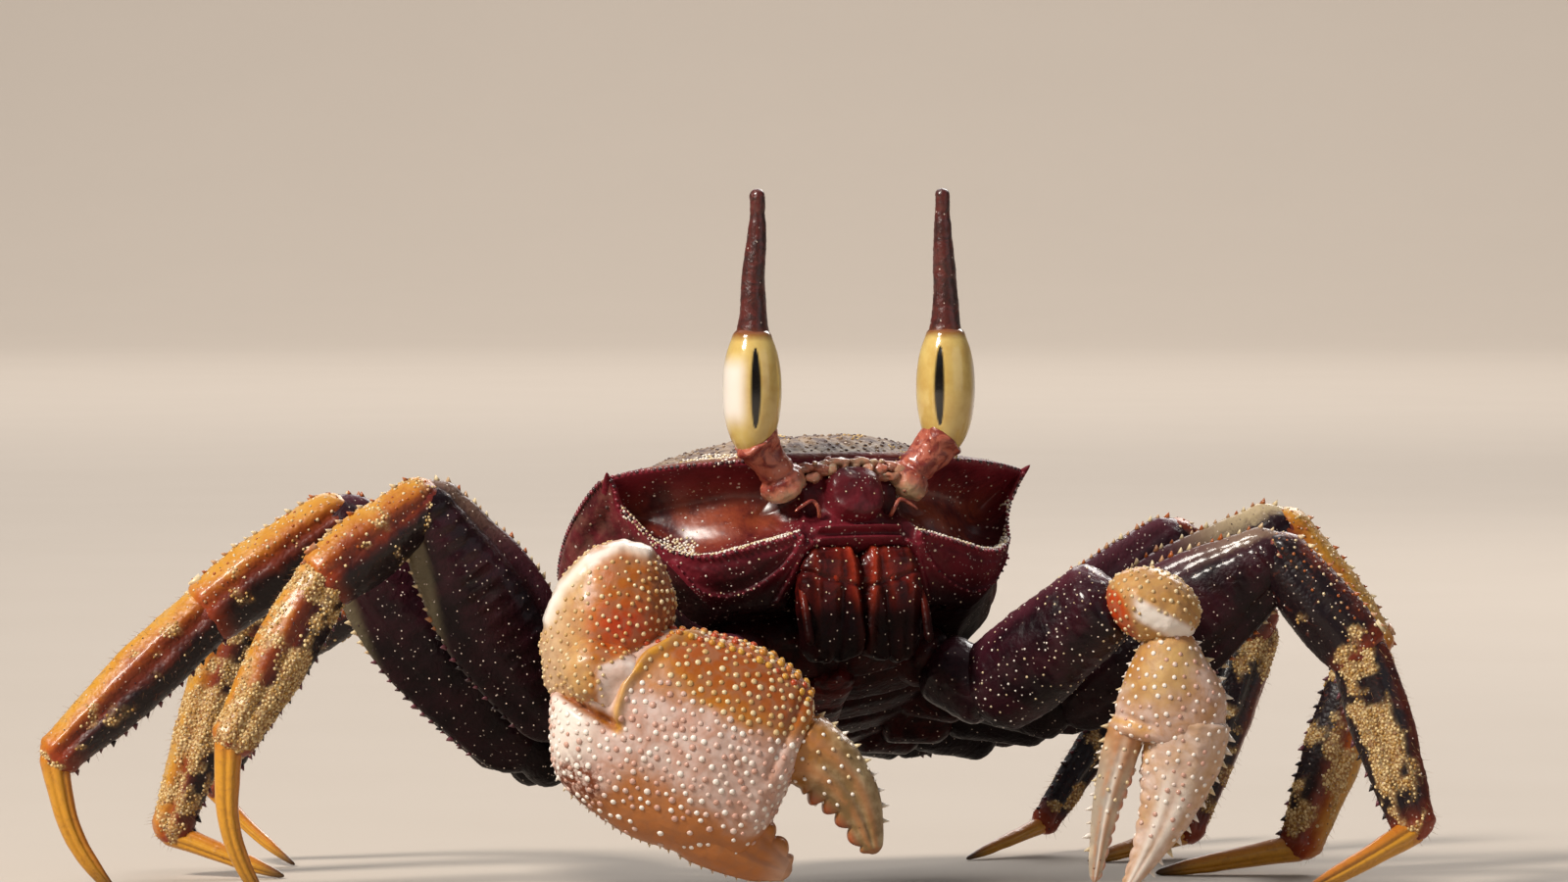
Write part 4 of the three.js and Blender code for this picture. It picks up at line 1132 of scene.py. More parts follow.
def rim_beads():
    """Places, aims and sizes of the beads along the brow, the margins and the ridges."""
    beads = []
    for _, side in RIGHT_LEFT:
        for a in np.arange(8.0, 25.3, 0.56):
            y = float(front_y(a))
            z = float(through(SHELL["margin_z"], y))
            beads.append(((side * a, y + 0.05, z + 0.1), (side * 0.15, -1, 0.45), 0.52))
        for y in np.arange(-12.6, 13.0, 0.62):
            a = float(through(SHELL["half_width"], y))
            z = float(through(SHELL["margin_z"], y))
            beads.append(((side * (a + 0.05), y, z), (side, -0.35, 0.2), 0.62 - 0.012 * (y + 12)))
        for line, size in ((INFRAORBITAL, 0.5), (CHEEK_RIDGE, 0.34)):
            stops = np.array(line)
            reach = np.concatenate([[0], np.cumsum(np.hypot(*np.diff(stops, axis=0).T))])
            for s in np.arange(0.4, reach[-1], 0.62 if size > 0.4 else 0.85):
                a, z = np.interp(s, reach, stops[:, 0]), np.interp(s, reach, stops[:, 1])
                a = min(a, np.interp(z, *face_edge()) - 0.12)
                out, _ = face_relief(np.array([a]), np.array([z]))
                y = float(face_y(a, z)) - float(out[0]) + 0.03
                beads.append(((side * a, y, z), (side * 0.1, -1, 0.2), size))
    places, aims, sizes = zip(*beads)
    turn = np.stack([BODY.way, BODY.side, BODY.up])
    return BODY.place(*np.array(places).T), np.array(aims) @ turn, sizes


# ---- mouth and belly


def maxilliped(side):
    """An outer mouth plate with the slim outer branch beside it."""
    centre = np.array(mirrored(MOUTH["centre"], side))
    lean = MOUTH["lean"]
    plate = blob(BODY, centre, MOUTH["reach"], lean, 0.62, 90, 110)
    x, y, z = (BODY.local(plate.points) - centre).T
    height = z * math.cos(lean) - y * math.sin(lean)
    inner = x * side
    seam = bell(height - 2.6 - 0.3 * inner, 0.25)
    groove = bell(inner + 0.9 + 0.1 * height, 0.3) * ease((2.2 - height) / 0.8)
    ribs = ((1, 2.3, -0.08), (0.4, 0.1, 0.12), (0.3, -1.9, 0))
    rib = sum(tall * bell(inner + x0 + slant * height, 0.4) for tall, x0, slant in ribs)
    plate.points -= np.outer(0.45 * ease(-inner / 3), side * BODY.way)
    plate.swell(-0.3 * seam - 0.45 * groove + 0.4 * rib + 0.1 * pebbles(plate.points, 0.8, 6)
                + 0.25 * cloud(plate.points, 2.2, 8))
    # low: painted shade on the plate's lower part
    plate.wear(ridge=clamp(rib * 0.9) * (1 - seam), low=ease((2.8 - height) / 4.5))
    start, way = centre + (side * 3.4, -0.6, -5.0), np.array([side * -0.6, 0.6, 9.6])
    branch = rope(BODY.place(*np.array([start, start + way * 0.5 + (side * 0.3, -0.9, 0), start + way]).T),
                  (0.55, 0.3), 12, 30)
    # low: painted shade towards the branch's lower end
    branch.wear(ridge=0.45, low=ease(1.3 - branch.traits["along"] * 1.6))
    palp = centre + np.array([(side * 0.6, -1.4, 5.2), (side * 0.2, -2.4, 3.6), (side * -0.5, -2.3, 1.6)])
    feeler = rope(BODY.place(*palp.T), (0.75, 0.35), 12, 24)
    return together(plate, branch, feeler.wear(ridge=0.7))


def antenna(side):
    """The bent feeler beside the rostrum."""
    bracket = [
        (4.2, -20.2, -1.6), (4.5, -21.2, -0.9), (5.2, -21.5, -0.1), (6.3, -21.3, -0.5), (7.3, -21, -1.1)]
    way = np.array([mirrored(spot, side) for spot in bracket])
    return rope(BODY.place(*way.T), (0.26, 0.15), 12, 30)


def belly_form():
    """The breast plate with its cross seams."""
    form = blob(BODY, BELLY["centre"], BELLY["reach"], 0, 0.85, 120, 90)
    local = BODY.local(form.points)
    local[:, 2] = np.minimum(local[:, 2], SHELL["floor"] + 0.4)
    form.points = BODY.place(*local.T)
    x, y, z = local.T
    under = ease((-11.4 - z) / 1.5)
    seams = np.max([bell(y + 12 - 5.2 * k + 0.2 * abs(x), 0.45) for k in range(6)], axis=0)
    return form.swell((-0.6 * seams - 0.4 * bell(x, 0.5)) * under + 0.12 * pebbles(form.points, 1.1, 9))


def tail_form():
    """The folded tail: jointed plates under the belly."""
    count = 100
    t = (np.arange(count) + 0.4) / (count - 0.2)
    y = TAIL["start"] - TAIL["length"] * t
    half = TAIL["base"] + (TAIL["tip"] - TAIL["base"]) * ease(t * 1.1)
    joint = (t * 6.5) % 1
    half = half * (1 - 0.1 * bell(joint - 0.03, 0.1)) * np.sqrt(clamp(1 - (2 * t - 1) ** 16))
    curve = 1 - ((y - BELLY["centre"][1]) / 19) ** 2
    sag = BELLY["centre"][2] - BELLY["reach"][2] * np.sqrt(np.maximum(0.1, curve))
    turn = turns(64)
    thick = TAIL["thick"] * (1 + 0.25 * joint)
    grid = np.stack([
        half[:, None] * signed_power(np.cos(turn), 0.6), y[:, None] + 0 * turn,
        sag[:, None] + thick[:, None] * signed_power(np.sin(turn), 0.8)], -1)
    # the folded tail takes a share of painted shade
    form = wrapped(BODY.place(*np.moveaxis(grid, -1, 0)), low=np.full((count, 64), 0.35))
    return form.swell(0.1 * pebbles(form.points, 0.9, 4))


# ---- eyes


def stalk_form(side):
    """The fleshy stalk, with crumbs of soft tissue about its foot."""
    root, neck = (np.array(mirrored(STALK[end], side)) for end in ("root", "neck"))
    line = Line.between(root - (neck - root) * 0.03, neck + (neck - root) * 0.1)
    deep = [(0, 2.5), (0.25, 2.35), (0.5, 1.95), (0.75, 2.2), (1, 2.9)]
    form = limb(line, [(0, 0), (line.length * 0.5, 0.25), (line.length, 0)], deep, deep,
                (0.16, 0.1), 1, 64, 80)
    ripple = 0.28 * cloud(form.points, 1.6, 5) + 0.14 * cloud(form.points, 0.7, 6)
    form.swell(ripple - 0.3 * bell(form.traits["along"] - 0.36, 0.04))
    form.wear(pale=0.7 * ease((0.3 - form.traits["along"]) / 0.3))
    folds, rng = [], np.random.default_rng(14)
    for x in np.linspace(0.7, 6.6, 26):
        z = 5.0 - 0.035 * x**2 - rng.uniform(0, 0.7 + 0.3 * x)
        spot = BODY.place(*mirrored((x, front_y(x) - rng.uniform(0, 1.2), z), side))
        size = rng.uniform(0.3, 0.7)
        turned = Line(spot, 1, rng.uniform(0, 6), 0)
        fold = blob(turned, (0, 0, 0), (size * 1.6, size, size * 0.8), 0.5, 1, 20, 14)
        fold.swell(0.5 * size * cloud(fold.points, 0.7, 9))
        folds.append(fold.wear(pale=rng.uniform(0, 0.6)))
    return together(form, *folds)


SLITS = {-1: (-0.309, -0.951), 1: (-0.639, -0.769)}    # which way each eye's slit faces


def eye_form(side):
    """The long oval eye, with the places its finish needs."""
    centre = np.array(mirrored(EYE["centre"], side))
    form = ball(centre, EYE["reach"], 0.94, 120, 110)
    x, y, z = ((form.points - centre) / np.array(EYE["reach"])).T
    flat = np.maximum(np.hypot(x, y), 1e-6)
    facing = (x * SLITS[side][0] + y * SLITS[side][1]) / flat
    across = np.arccos(np.clip(facing, -1, 1)) * np.sign(x * SLITS[side][1] - y * SLITS[side][0])
    tall = clamp(1 - ((z - 0.03) / 0.6) ** 2)
    width = 0.17 * np.sqrt(tall) + 0.01
    slit = ease((width * 1.25 - abs(across)) / (0.5 * width)) * (tall > 0)
    outward = (x * side) / flat
    form.wear(
        slit=slit, ring=bell(across, 0.5) * ease(1.1 - abs(z)) * 0.25 * (1 - slit),
        flank=ease((outward - 0.45) / 0.4) * ease((0.62 - abs(z + 0.02)) / 0.35) * 0.95,
        cap=ease((z - 0.62) / 0.3) + 0.28 * ease((-z - 0.75) / 0.25))
    return form.swell(0.12 * bell(z - 0.82, 0.06) - 0.06 * slit)


def horn_form(side):
    root, tip = (np.array(mirrored(HORN[end], side)) for end in ("root", "tip"))
    root = root - (tip - root) * 0.14
    line = Line.between(root, tip)
    size = line.length
    path = [(0, 0), (size * 0.35, 0.12), (size * 0.7, -0.12), (size - HORN["fine"] * 0.2, 0)]
    waist = HORN["thick"] * 0.98
    thick = [(0, 1.9), (0.14, 1.5), (0.3, waist), (0.6, 1.08), (0.85, 0.8), (0.93, 0.78), (1, 0.86)]
    form = limb(line, path, thick, thick, (0.04, 0.05), 1, 40, 110)
    return form.swell(0.09 * cloud(form.points, 1.2, 4) + 0.06 * pebbles(form.points, 0.7, 3))


# ---- legs

# Half depth and half width along each segment, in shares of the merus's; how far each end reaches into its
# neighbour and how long its rounded ends are, on the front legs; how keeled it is and how its end flares.
LIMBS = {
    "ischium": {
        "deep": [(0, 0.56), (1, 0.64)], "wide": [(0, 0.95), (1, 0.95)],
        "over": (1.5, 2), "round": 3.0, "keel": 1.1, "flare": 0},
    "merus": {
        "deep": [(0, 0.64), (0.35, 0.96), (0.62, 1), (1, 0.56)], "wide": [(0, 0.85), (0.5, 1), (1, 0.85)],
        "over": (1, 2.2), "round": 3.2, "keel": 1.25, "flare": 0.07},
    "carpus": {
        "deep": [(0, 0.5), (0.6, 0.62), (1, 0.56)], "wide": [(0, 0.85), (0.5, 1), (1, 0.85)],
        "over": (2.4, 1.6), "round": 2.6, "keel": 1.1, "flare": 0.07},
    "propodus": {
        "deep": [(0, 0.5), (0.4, 0.56), (1, 0.38)], "wide": [(0, 0.75), (0.4, 0.8), (1, 0.62)],
        "over": (1.8, 1.3), "round": 2.0, "keel": 1.15, "flare": 0.07},
    "dactyl": {
        "deep": [(0, 0.25), (0.3, 0.2), (0.75, 0.14), (1, 0.05)], "wide": [(0, 0.45), (0.5, 0.34), (1, 0.1)],
        "over": (1.4, 0), "round": 1.6, "keel": 1.0, "flare": 0},
}
SEGMENTS = tuple(LIMBS)
TOE_SINK = 0.06
# Points round each ring of a leg, a palm and a finger.
LEG_AROUND, PALM_AROUND, FINGER_AROUND = 52, 150, 72


def leg_lines(name):
    """The five stretches of a leg, from hip to toe; the last meets the ground."""
    side, heading, slopes, toe_turn = LEGS[name]
    hip, lengths, girth = ROWS[name[-2:]]
    turn = math.radians(heading if side > 0 else 180 - heading)
    lines, start = [], mirrored(hip, side)
    for length, slope in zip(lengths, slopes):
        lines.append(Line(start, length, turn, math.radians(slope)))
        start = lines[-1].end
    tip = LIMBS["dactyl"]["deep"][-1][1] * girth[0] / 2
    lift = tip * math.sqrt(1 - (start[2] / lengths[4]) ** 2) - TOE_SINK
    slope = -math.pi + math.asin((start[2] - lift) / lengths[4])
    lines.append(Line(start, lengths[4], turn + math.radians(toe_turn), slope))
    return dict(zip(SEGMENTS, lines))


def leg_form(kind, line, girth):
    """One blade-like segment of a leg."""
    shape, size, toe = LIMBS[kind], line.length, kind == "dactyl"
    before, after = (over * girth[0] / FULL_DEPTH for over in shape["over"])
    bow = 0.13 * line.start[2] ** 3 / size**2 if toe else 0.0
    path = [(-before, -0.1 * bow)] + [(size * t, bow * math.sin(math.pi * t)) for t in (0.2, 0.4, 0.6, 0.8)]
    path += [(size + after - (0.2 if toe else 0), 0.0)]
    whole = size + before + after
    shares = {}
    for key, half in (("deep", girth[0] / 2), ("wide", girth[1] / 2)):
        shares[key] = [((before + t * size) / whole, value * half) for t, value in shape[key]]
    end = shape["round"] * girth[0] / FULL_DEPTH
    cap = (min(0.3, end * 1.1 / whole), 0.05 if toe else min(0.3, end / whole))
    form = limb(
        line, path, shares["deep"], shares["wide"], cap, shape["keel"], LEG_AROUND, 90, shape["flare"])
    form.swell(limb_relief(kind, form, whole, shares["deep"][0][1]))
    form.points[:, 2] = np.maximum(form.points[:, 2], 0)
    return form


def limb_relief(kind, form, length, deep):
    """Height of a segment's keels, grooves and grain."""
    along, edge, side = (form.traits[key] for key in ("along", "edge", "side"))
    middle = ease(np.minimum(along, 1 - along) / 0.12)
    if kind == "dactyl":
        height = 0.05 * cloud(form.points, 1.5, 7)
        height -= 0.3 * bell(abs(edge) - 0.42, 0.16) * middle * deep / 2
        return height * ease((1 - along) / 0.3)
    height = 0.1 * pebbles(form.points, 0.8, 3) + 0.12 * cloud(form.points, 2.5, 7)
    if kind == "merus":
        height -= 0.4 * (bell(abs(edge) - 0.72, 0.09)) * middle
        height += 0.1 * np.sin(along * length * 3.2 + 2 * edge) * middle * (1 - abs(edge))
        height += 0.25 * bell(abs(edge) - 0.97, 0.06) * middle
    elif kind == "carpus":
        height -= 0.35 * bell(edge - 0.25, 0.12) * middle * (abs(side) > 0.3)
        height += 0.2 * bell(edge - 0.6, 0.15) * middle
    elif kind == "propodus":
        height -= 0.4 * bell(edge - 0.1, 0.16) * middle
        height += 0.2 * bell(abs(edge - 0.1) - 0.4, 0.12) * middle
    return height


def joint_skin(lines, girth):
    """The soft wrinkled skin at a leg's three outer joints."""
    skin = []
    for kind, size in (("carpus", 0.38), ("propodus", 0.36), ("dactyl", 0.22)):
        half = size * girth[0] / 2
        fold = ball(lines[kind].start, (half, half, half), 1, 24, 18)
        skin.append(fold.swell(0.15 * cloud(fold.points, 0.8, 4)))
    return together(*skin)


# What each leg wears: how dark its shanks are, how sandy, and how pale the crest of its thigh.
LEG_LOOKS = {
    "right_p2": (0.55, 1.0, 0.15), "right_p3": (0.4, 0.12, 0.0), "right_p4": (0.1, 0.7, 0.0),
    "right_p5": (0.4, 0.4, 0.0), "left_p2": (1.35, 0.78, 0.2), "left_p3": (0.2, 0.5, 0.7),
    "left_p4": (0.9, 0.6, 0.0), "left_p5": (1.0, 0.4, 0.0),
}


def edge_picks(form, around, edge, start, stop, count, shift=0):
    """Which points lie along a limb's upper edge (1) or lower edge (-1), evenly from start to stop."""
    column = (2 - edge) * around // 4 + shift
    rings = np.arange((len(form.points) - 2) // around) * around + column % around
    along = form.traits["along"][rings]
    return rings[abs(along[None, :] - np.linspace(start, stop, count)[:, None]).argmin(1)]


def edge_row(form, edge, start, stop, spacing, line, rng):
    """Places, aims and sizes of the small teeth along an edge of a leg's segment."""
    count = max(3, int(line.length * (stop - start) / spacing))
    pick = edge_picks(form, LEG_AROUND, edge, start, stop, count)
    lean = rng.uniform(-0.25, 0.25, (count, 1))
    aims = form.normals()[pick] + line.way * 0.55 + line.side * lean
    return form.points[pick], aims, rng.uniform(0.75, 1.2, count)


# ---- claws

HANDS = {
    "right": {
        "top": [(-3.8, 0.2), (1.8, 8.2), (6.3, 10.9), (12.5, 12.1), (18, 11.6), (22.6, 9.8)],
        "under": [(-3.8, -3.2), (-0.8, -8), (3.7, -10.4), (10.8, -11.2), (22.6, -9.6)],
        "wide": [(-3.8, 3.6), (1, 5.0), (6, 5.9), (13, 5.9), (18, 5.3), (22.6, 4.3)],
        "finger": {"root": (21.2, 0, 4.9), "tip": (33.9, 0, -2.2), "bow": 1.8,
                   "deep": [(0, 3.9), (0.25, 3.6), (0.6, 2.6), (0.88, 1.45), (1, 0.8)],
                   "wide": [(0, 3.7), (0.3, 3.1), (0.7, 1.9), (1, 0.7)]},
        "thumb": {"root": (13, 0, -4.9), "tip": (26.7, 0, -7.7), "bow": -0.9,
                  "deep": [(0, 5.2), (0.35, 4.6), (0.7, 3.0), (0.9, 1.8), (1, 1.0)],
                  "wide": [(0, 4.6), (0.4, 3.8), (0.75, 2.2), (1, 0.7)]},
    },
    "left": {
        "top": [(-1.4, 1.6), (0.5, 2.6), (3, 3.2), (6, 3.7), (12, 3.5)],
        "under": [(-1.4, -1.8), (1.2, -3.8), (4.5, -7.2), (9, -8.3), (12, -8.5)],
        "wide": [(-1.4, 2.0), (1, 3.0), (5, 3.6), (8, 3.5), (12, 2.5)],
        "finger": {"root": (10.4, 0, 1.7), "tip": (28, 0, 0.6), "bow": 0.6,
                   "deep": [(0, 2.1), (0.3, 1.8), (0.7, 1.15), (0.93, 0.7), (1, 0.45)],
                   "wide": [(0, 2.0), (0.4, 1.6), (0.8, 0.9), (1, 0.4)]},
        "thumb": {"root": (7.5, 0, -4.2), "tip": (28, 0, -2.8), "bow": -1.3,
                  "deep": [(0, 4.5), (0.25, 4.2), (0.55, 2.7), (0.85, 1.2), (1, 0.5)],
                  "wide": [(0, 3.5), (0.2, 3.5), (0.45, 2.6), (0.8, 1.2), (1, 0.4)]},
    },
}
OUTER = {"right": -1, "left": 1}          # which side of the hand's own frame is its outer face
SWELL = [(0, 0.96), (0.25, 1.04), (0.5, 1.06), (0.75, 1.0), (1, 0.89)]


def palm_line(name):
    arm = ARMS[name]
    return Line(arm["wrist"], 1, math.radians(arm["heading"]), math.radians(arm["slope"]))


def palm_form(name):
    """The swollen hand, without its fingers."""
    hand, line = HANDS[name], palm_line(name)
    first, last = hand["top"][0][0], hand["top"][-1][0]
    middle, deep = [], []
    for share in np.linspace(0, 1, 15):
        x = first + (last - first) * share
        high, low = float(through(hand["top"], x)), float(through(hand["under"], x))
        middle.append((share, (high + low) / 2))
        deep.append((share, (high - low) / 2))
    wide = [((x - first) / (last - first), half) for x, half in hand["wide"]]
    t = stations(170)
    x, mid = first + (last - first) * t, through(middle, t)
    start, end = (0.16, 0.1) if name == "right" else (0.2, 0.1)
    closing = clamp(1 - clamp(1 - t / start) ** 2.2) ** 0.5
    closing = closing * clamp(1 - clamp(1 - (1 - t) / end) ** 3) ** 0.5
    angle = turns(PALM_AROUND)[None, :]
    high = (through(deep, t) * closing)[:, None] * np.sin(angle)
    bulge = 1 + 0.12 * OUTER[name] * np.cos(angle)
    across = (through(wide, t) * closing)[:, None] * signed_power(np.cos(angle), 0.9) * bulge
    grid = line.place(x[:, None], across, mid[:, None] + high)
    return wrapped(grid, along=t[:, None], edge=np.sin(angle))


def finger_form(name, kind):
    """A finger of a claw with rounded biting teeth on its inner edge."""
    shape, base = HANDS[name][kind], palm_line(name)
    root, tip = (base.place(*shape[end]) for end in ("root", "tip"))
    line = Line.between(root, tip)
    flip = 1 if np.dot(line.up, base.up) > 0 else -1
    size = line.length
    path = [(size * t, flip * shape["bow"] * math.sin(math.pi * t)) for t in np.linspace(0, 1, 8)]
    form = limb(line, path, shape["deep"], shape["wide"], (0.06, 0.05), 1.0, FINGER_AROUND, 130)
    along_it, edge = form.traits["along"], form.traits["edge"]
    inner = -np.sign(shape["bow"]) * flip
    bite = ease((edge * inner - 0.72) / 0.2) * ease((along_it - 0.22) / 0.1) * ease((0.99 - along_it) / 0.05)
    count = 6.5 if name == "right" else 13
    scallop = abs(np.sin(np.pi * count * along_it)) ** 0.7
    tall = 1.2 if name == "right" else 0.38
    height = tall * bite * scallop * (1.1 - 0.6 * along_it) + 0.1 * cloud(form.points, 2.0, 5)
    height -= 0.3 * tall * bell(edge, 0.16) * ease(along_it / 0.2) * ease((1 - along_it) / 0.2)
    height += 0.12 * pebbles(form.points, 1.0, 7) * ease((0.5 - along_it) / 0.3)
    form.swell(height)
    return form.wear(
        bite=bite * scallop * 0.9 + 0.3 * (along_it > 0.96), stripe=bell(abs(edge) - 0.35, 0.2),
        pale=(0.3 + 0.5 * bell(edge, 0.25)) * (name == "left"))


def right_palm():
    palm = palm_form("right")
    line = palm_line("right")
    x, y, z = line.local(palm.points).T
    outer = ease(-y / 2.5)
    rim = [(7.4, 11.4), (5.6, 9.8), (3.6, 7.0), (2.7, 3.0), (3.0, 0.4), (3.8, -1.3)]
    collar = along_line(x, z, rim, 0.55) * outer
    cleft = along_line(x, z, [(-5.6, 0.2), (-0.6, -0.9), (3.6, -1.2)], 0.65) * outer
    height = 0.75 * collar - 1.3 * cleft - 0.6 * along_line(x + 1.5, z, rim, 0.8) * outer
    height += 0.25 * cloud(palm.points, 4.5, 6)
    height += (0.3 * bell(x - 21.6, 0.8) - 0.35 * bell(x - 20.2, 0.5)) * outer * ease((z + 1) / 3)
    palm.swell(height)
    before = ease(along_side(x, z, rim) / 0.8) * ease((z + 1.2) / 0.6)
    noise = 1.6 * cloud(palm.points, 3.0, 12)
    # in the cleft under the carpus, the added orange and dark brown are painted shade in the recess; the
    # round patch low near the wrist is darkened the same way
    palm.wear(
        warm=clamp(ease((z - 1.2 + noise) / 8.5) * (1 - before * 0.7) + 0.9 * cleft),
        amber=0.85 * collar,
        peach=clamp(ease((-z + noise) / 9) * ease((x - 1) / 8) + 0.7 * ease((-z - 8) / 3)),
        pale=clamp(ease((4 - x) / 4) * ease((5.5 - abs(z + 4)) / 3) * outer - cleft) * 0.8,
        dirt=clamp(bell(np.hypot((x - 2.3) / 2.4, (z + 8.8) / 2.2), 1.0) * 2.4 + 0.6 * cleft),
        smooth=clamp(before + collar + cleft + ease((-z - 4.2) / 3.5) * ease((x - 4) / 4) * 0.95))
    thumb = finger_form("right", "thumb")
    tx = line.local(thumb.points)[:, 0]
    thumb.wear(
        peach=0.9, warm=thumb.traits["bite"] * 0.7, smooth=0.8,
        pale=ease((tx - 23) / 4) * 0.35 * (1 - thumb.traits["bite"]))
    return together(palm, thumb), palm, thumb


def along_side(x, z, stops):
    """How far points lie on the wrist's side of a bent upright line."""
    line = sorted((z_, x_) for x_, z_ in stops)
    heights, places = np.array(line).T
    return np.interp(z, heights, places) - x


def left_palm():
    palm = palm_form("left")
    line = palm_line("left")
    x, _, z = line.local(palm.points).T
    hinge = ease((z + 1.5) / 1.5)
    fold = 0.3 * bell(x - 11.2, 0.6) - 0.3 * bell(x - 9.9, 0.5)
    palm.swell(0.22 * cloud(palm.points, 3.0, 6) + hinge * fold)
    palm.wear(
        straw=0.35 + 0.65 * ease((10 - x) / 9) * ease((z + 5) / 6), peach=0.4,
        warm=0.35 * ease((z + 1) / 4) * ease((9 - x) / 4), amber=0.7 * bell(x - 10.4, 0.4) * hinge,
        pale=0.3 * ease((-z - 4) / 3) * ease((5 - x) / 3), red=bell(x + 0.6, 1.0) * 0.4, smooth=0)
    thumb = finger_form("left", "thumb")
    tx, _, tz = line.local(thumb.points).T
    stripe = bell(abs(thumb.traits["edge"]) - 0.3, 0.22) * ease((tx - 12) / 5)
    thumb.wear(
        pale=0.1 + 0.75 * stripe, peach=0.3 * (1 - stripe), straw=0.4, smooth=ease((tx - 13) / 10),
        amber=bell(tz + 0.2 + 0.03 * tx, 0.6) * ease((16 - tx) / 3) * 0.8)
    return together(palm, thumb), palm, thumb


def knob_form(name):
    """The carpus of an arm: a knob that caps the end of the merus."""
    arm = ARMS[name]
    line = Line.between(*arm["carpus"])
    deep, wide = arm["knob"]
    reach = line.length / 2 + deep * 0.55
    form = ball((0, 0, 0), (1, 1, 1), 0.94, 110, 90)
    x, y, z = form.points.T
    form.points = line.place(line.length / 2 + z * reach, x * wide, y * deep)
    return form.outward()


def arm_forms(name):
    """Ischium and merus of a claw's arm."""
    arm = ARMS[name]
    hip, root, knee = arm["joints"]
    base, merus = Line.between(hip, root), Line.between(root, knee)
    girth = [(0, arm["base"]), (1, arm["base"])]
    stub = limb(base, [(-1, 0), (base.length + 1.5, 0)], girth, girth, (0.25, 0.25), 1, 48, 50)
    stub.swell(0.12 * pebbles(stub.points, 0.9, 2))
    deep = [(t, share * arm["merus"]) for t, share in SWELL]
    wide = [(t, share * 4.2) for t, share in SWELL]
    thigh = limb(merus, [(-2, 0), (merus.length / 2, 0), (merus.length + 1.6, 0)], deep, wide, (0.18, 0.14),
                 1.15, 80, 110, 0.05)
    thigh.swell(0.14 * pebbles(thigh.points, 0.9, 2) + 0.25 * cloud(thigh.points, 3.0, 3))
    return stub, thigh


# ---- forms that several steps share


@lru_cache(maxsize=None)
def shell_parts():
    return in_body(shell_form()), in_body(face_form()), in_body(shell_teeth())


def sanded(points, bias):
    """How thick the sand lies, from 0 to 1: in patches that grow with bias."""
    return ease((cloud(points, 3.2, 5) + 0.85 * cloud(points, 1.1, 6) + bias) / 0.5)


@lru_cache(maxsize=None)
def leg_part(name, kind):
    dark, sand, crest = LEG_LOOKS[name]
    form = leg_form(kind, leg_lines(name)[kind], ROWS[name[-2:]][2])
    along, edge = form.traits["along"], form.traits["edge"]
    form.wear(dark=dark, crest=crest * ease((along - 0.6) / 0.3))
    cover = {"propodus": 1.0, "carpus": 0.3}.get(kind, 0)
    bare = 0.3 * (abs(edge) > 0.9) + (name == "left_p2") * ease((abs(edge) - 0.5) / 0.3)
    bare = bare + 0.5 * ease((along - 0.82) / 0.12) * ("left" in name)
    form.wear(sand=sanded(form.points, sand * cover * 1.35 - 0.72 - bare) * (cover > 0))
    if kind in ("ischium", "merus"):
        # painted shade: the thighs darken towards the ground
        painted_shade_below = 1 - ease((form.points[:, 2] - 20) / 22)
        merus = kind == "merus"
        band = ease((along - 0.5 - edge - 0.95) / 0.15) * merus * ("right" in name)
        form.wear(low=painted_shade_below * (0.7 if merus else 1.0), band=0.85 * band)
    return form


@lru_cache(maxsize=None)
def palms():
    return {"right": right_palm(), "left": left_palm()}


@lru_cache(maxsize=None)
def knobs():
    return {"right": right_knob(), "left": left_knob()}


def grained_knob(form):
    """Grain on a knob, with where its points lie across the view and up, and the noise in them."""
    noise = cloud(form.points, 2.2, 3)
    across, z = form.points @ np.array(VIEW["right"]), form.points[:, 2]
    form.swell(0.12 * pebbles(form.points, 1.0, 3) + 0.2 * noise)
    return across, z, noise


def right_knob():
    lobe = blob(palm_line("right"), (0.2, -3.6, 2.9), (4.6, 2.6, 3.5), 0, 0.9, 80, 60)
    form = together(knob_form("right"), lobe.swell(0.25 * cloud(lobe.points, 2.2, 3)))
    across, z, noise = grained_knob(form)
    crest = [(-24.6, 31), (-22.9, 34.4), (-20.2, 37.1), (-16.5, 38.8), (-14, 38)]
    arc = along_line(across, z, crest, 0.6)
    form.swell(0.35 * arc)
    flat = ease((across + 19.4) / 1.0) * ease((28.2 + 0.35 * (across + 16) - z) / 1.4)
    # the knob turns darker brown towards the view's right side
    return form.wear(
        straw=ease((-18.6 + noise - across) / 3),
        warm=clamp(0.85 - 0.5 * arc - flat - 0.6 * ease((-18 - across) / 3)),
        red=0.9 * bell(np.hypot((across + 16.6) / 3.4, (z - 30.6) / 2.3), 1.0) * (1 - flat),
        pale=clamp(0.82 * arc + 0.35 * flat + 0.2 * ease((-21 - across) / 3)),
        smooth=np.maximum(ease(arc * 3), flat), dirt=0.8 * ease((across + 14.6) / 2) * (1 - flat))


def left_knob():
    form = knob_form("left")
    across, z, _ = grained_knob(form)
    below = z - 31.3 + 0.55 * (across - 40)
    band = ease(1.7 - abs(below + 1.1)) * ease((across - 37.0) / 1.5)
    # below the white band the knob turns dark red, its own red deepened as painted shade
    return form.wear(
        straw=0.9 - 0.9 * band, warm=0.3 + 0.6 * ease((37.4 - across) / 2) * ease(-below / 2),
        pale=0.95 * band, smooth=band, red=0.8 * ease((36.8 - across - 0.5 * below) / 1.5) * ease(-below))


# ---- what the user may change


def colour(name, code):
    return bpy.props.FloatVectorProperty(
        name=name, description=f"Colour of the crab's {name.lower()}", subtype="COLOR", size=3, min=0, max=1,
        default=tone(code))


def length(name, description, metres):
    return bpy.props.FloatProperty(name=name, description=description, default=metres, unit="LENGTH")


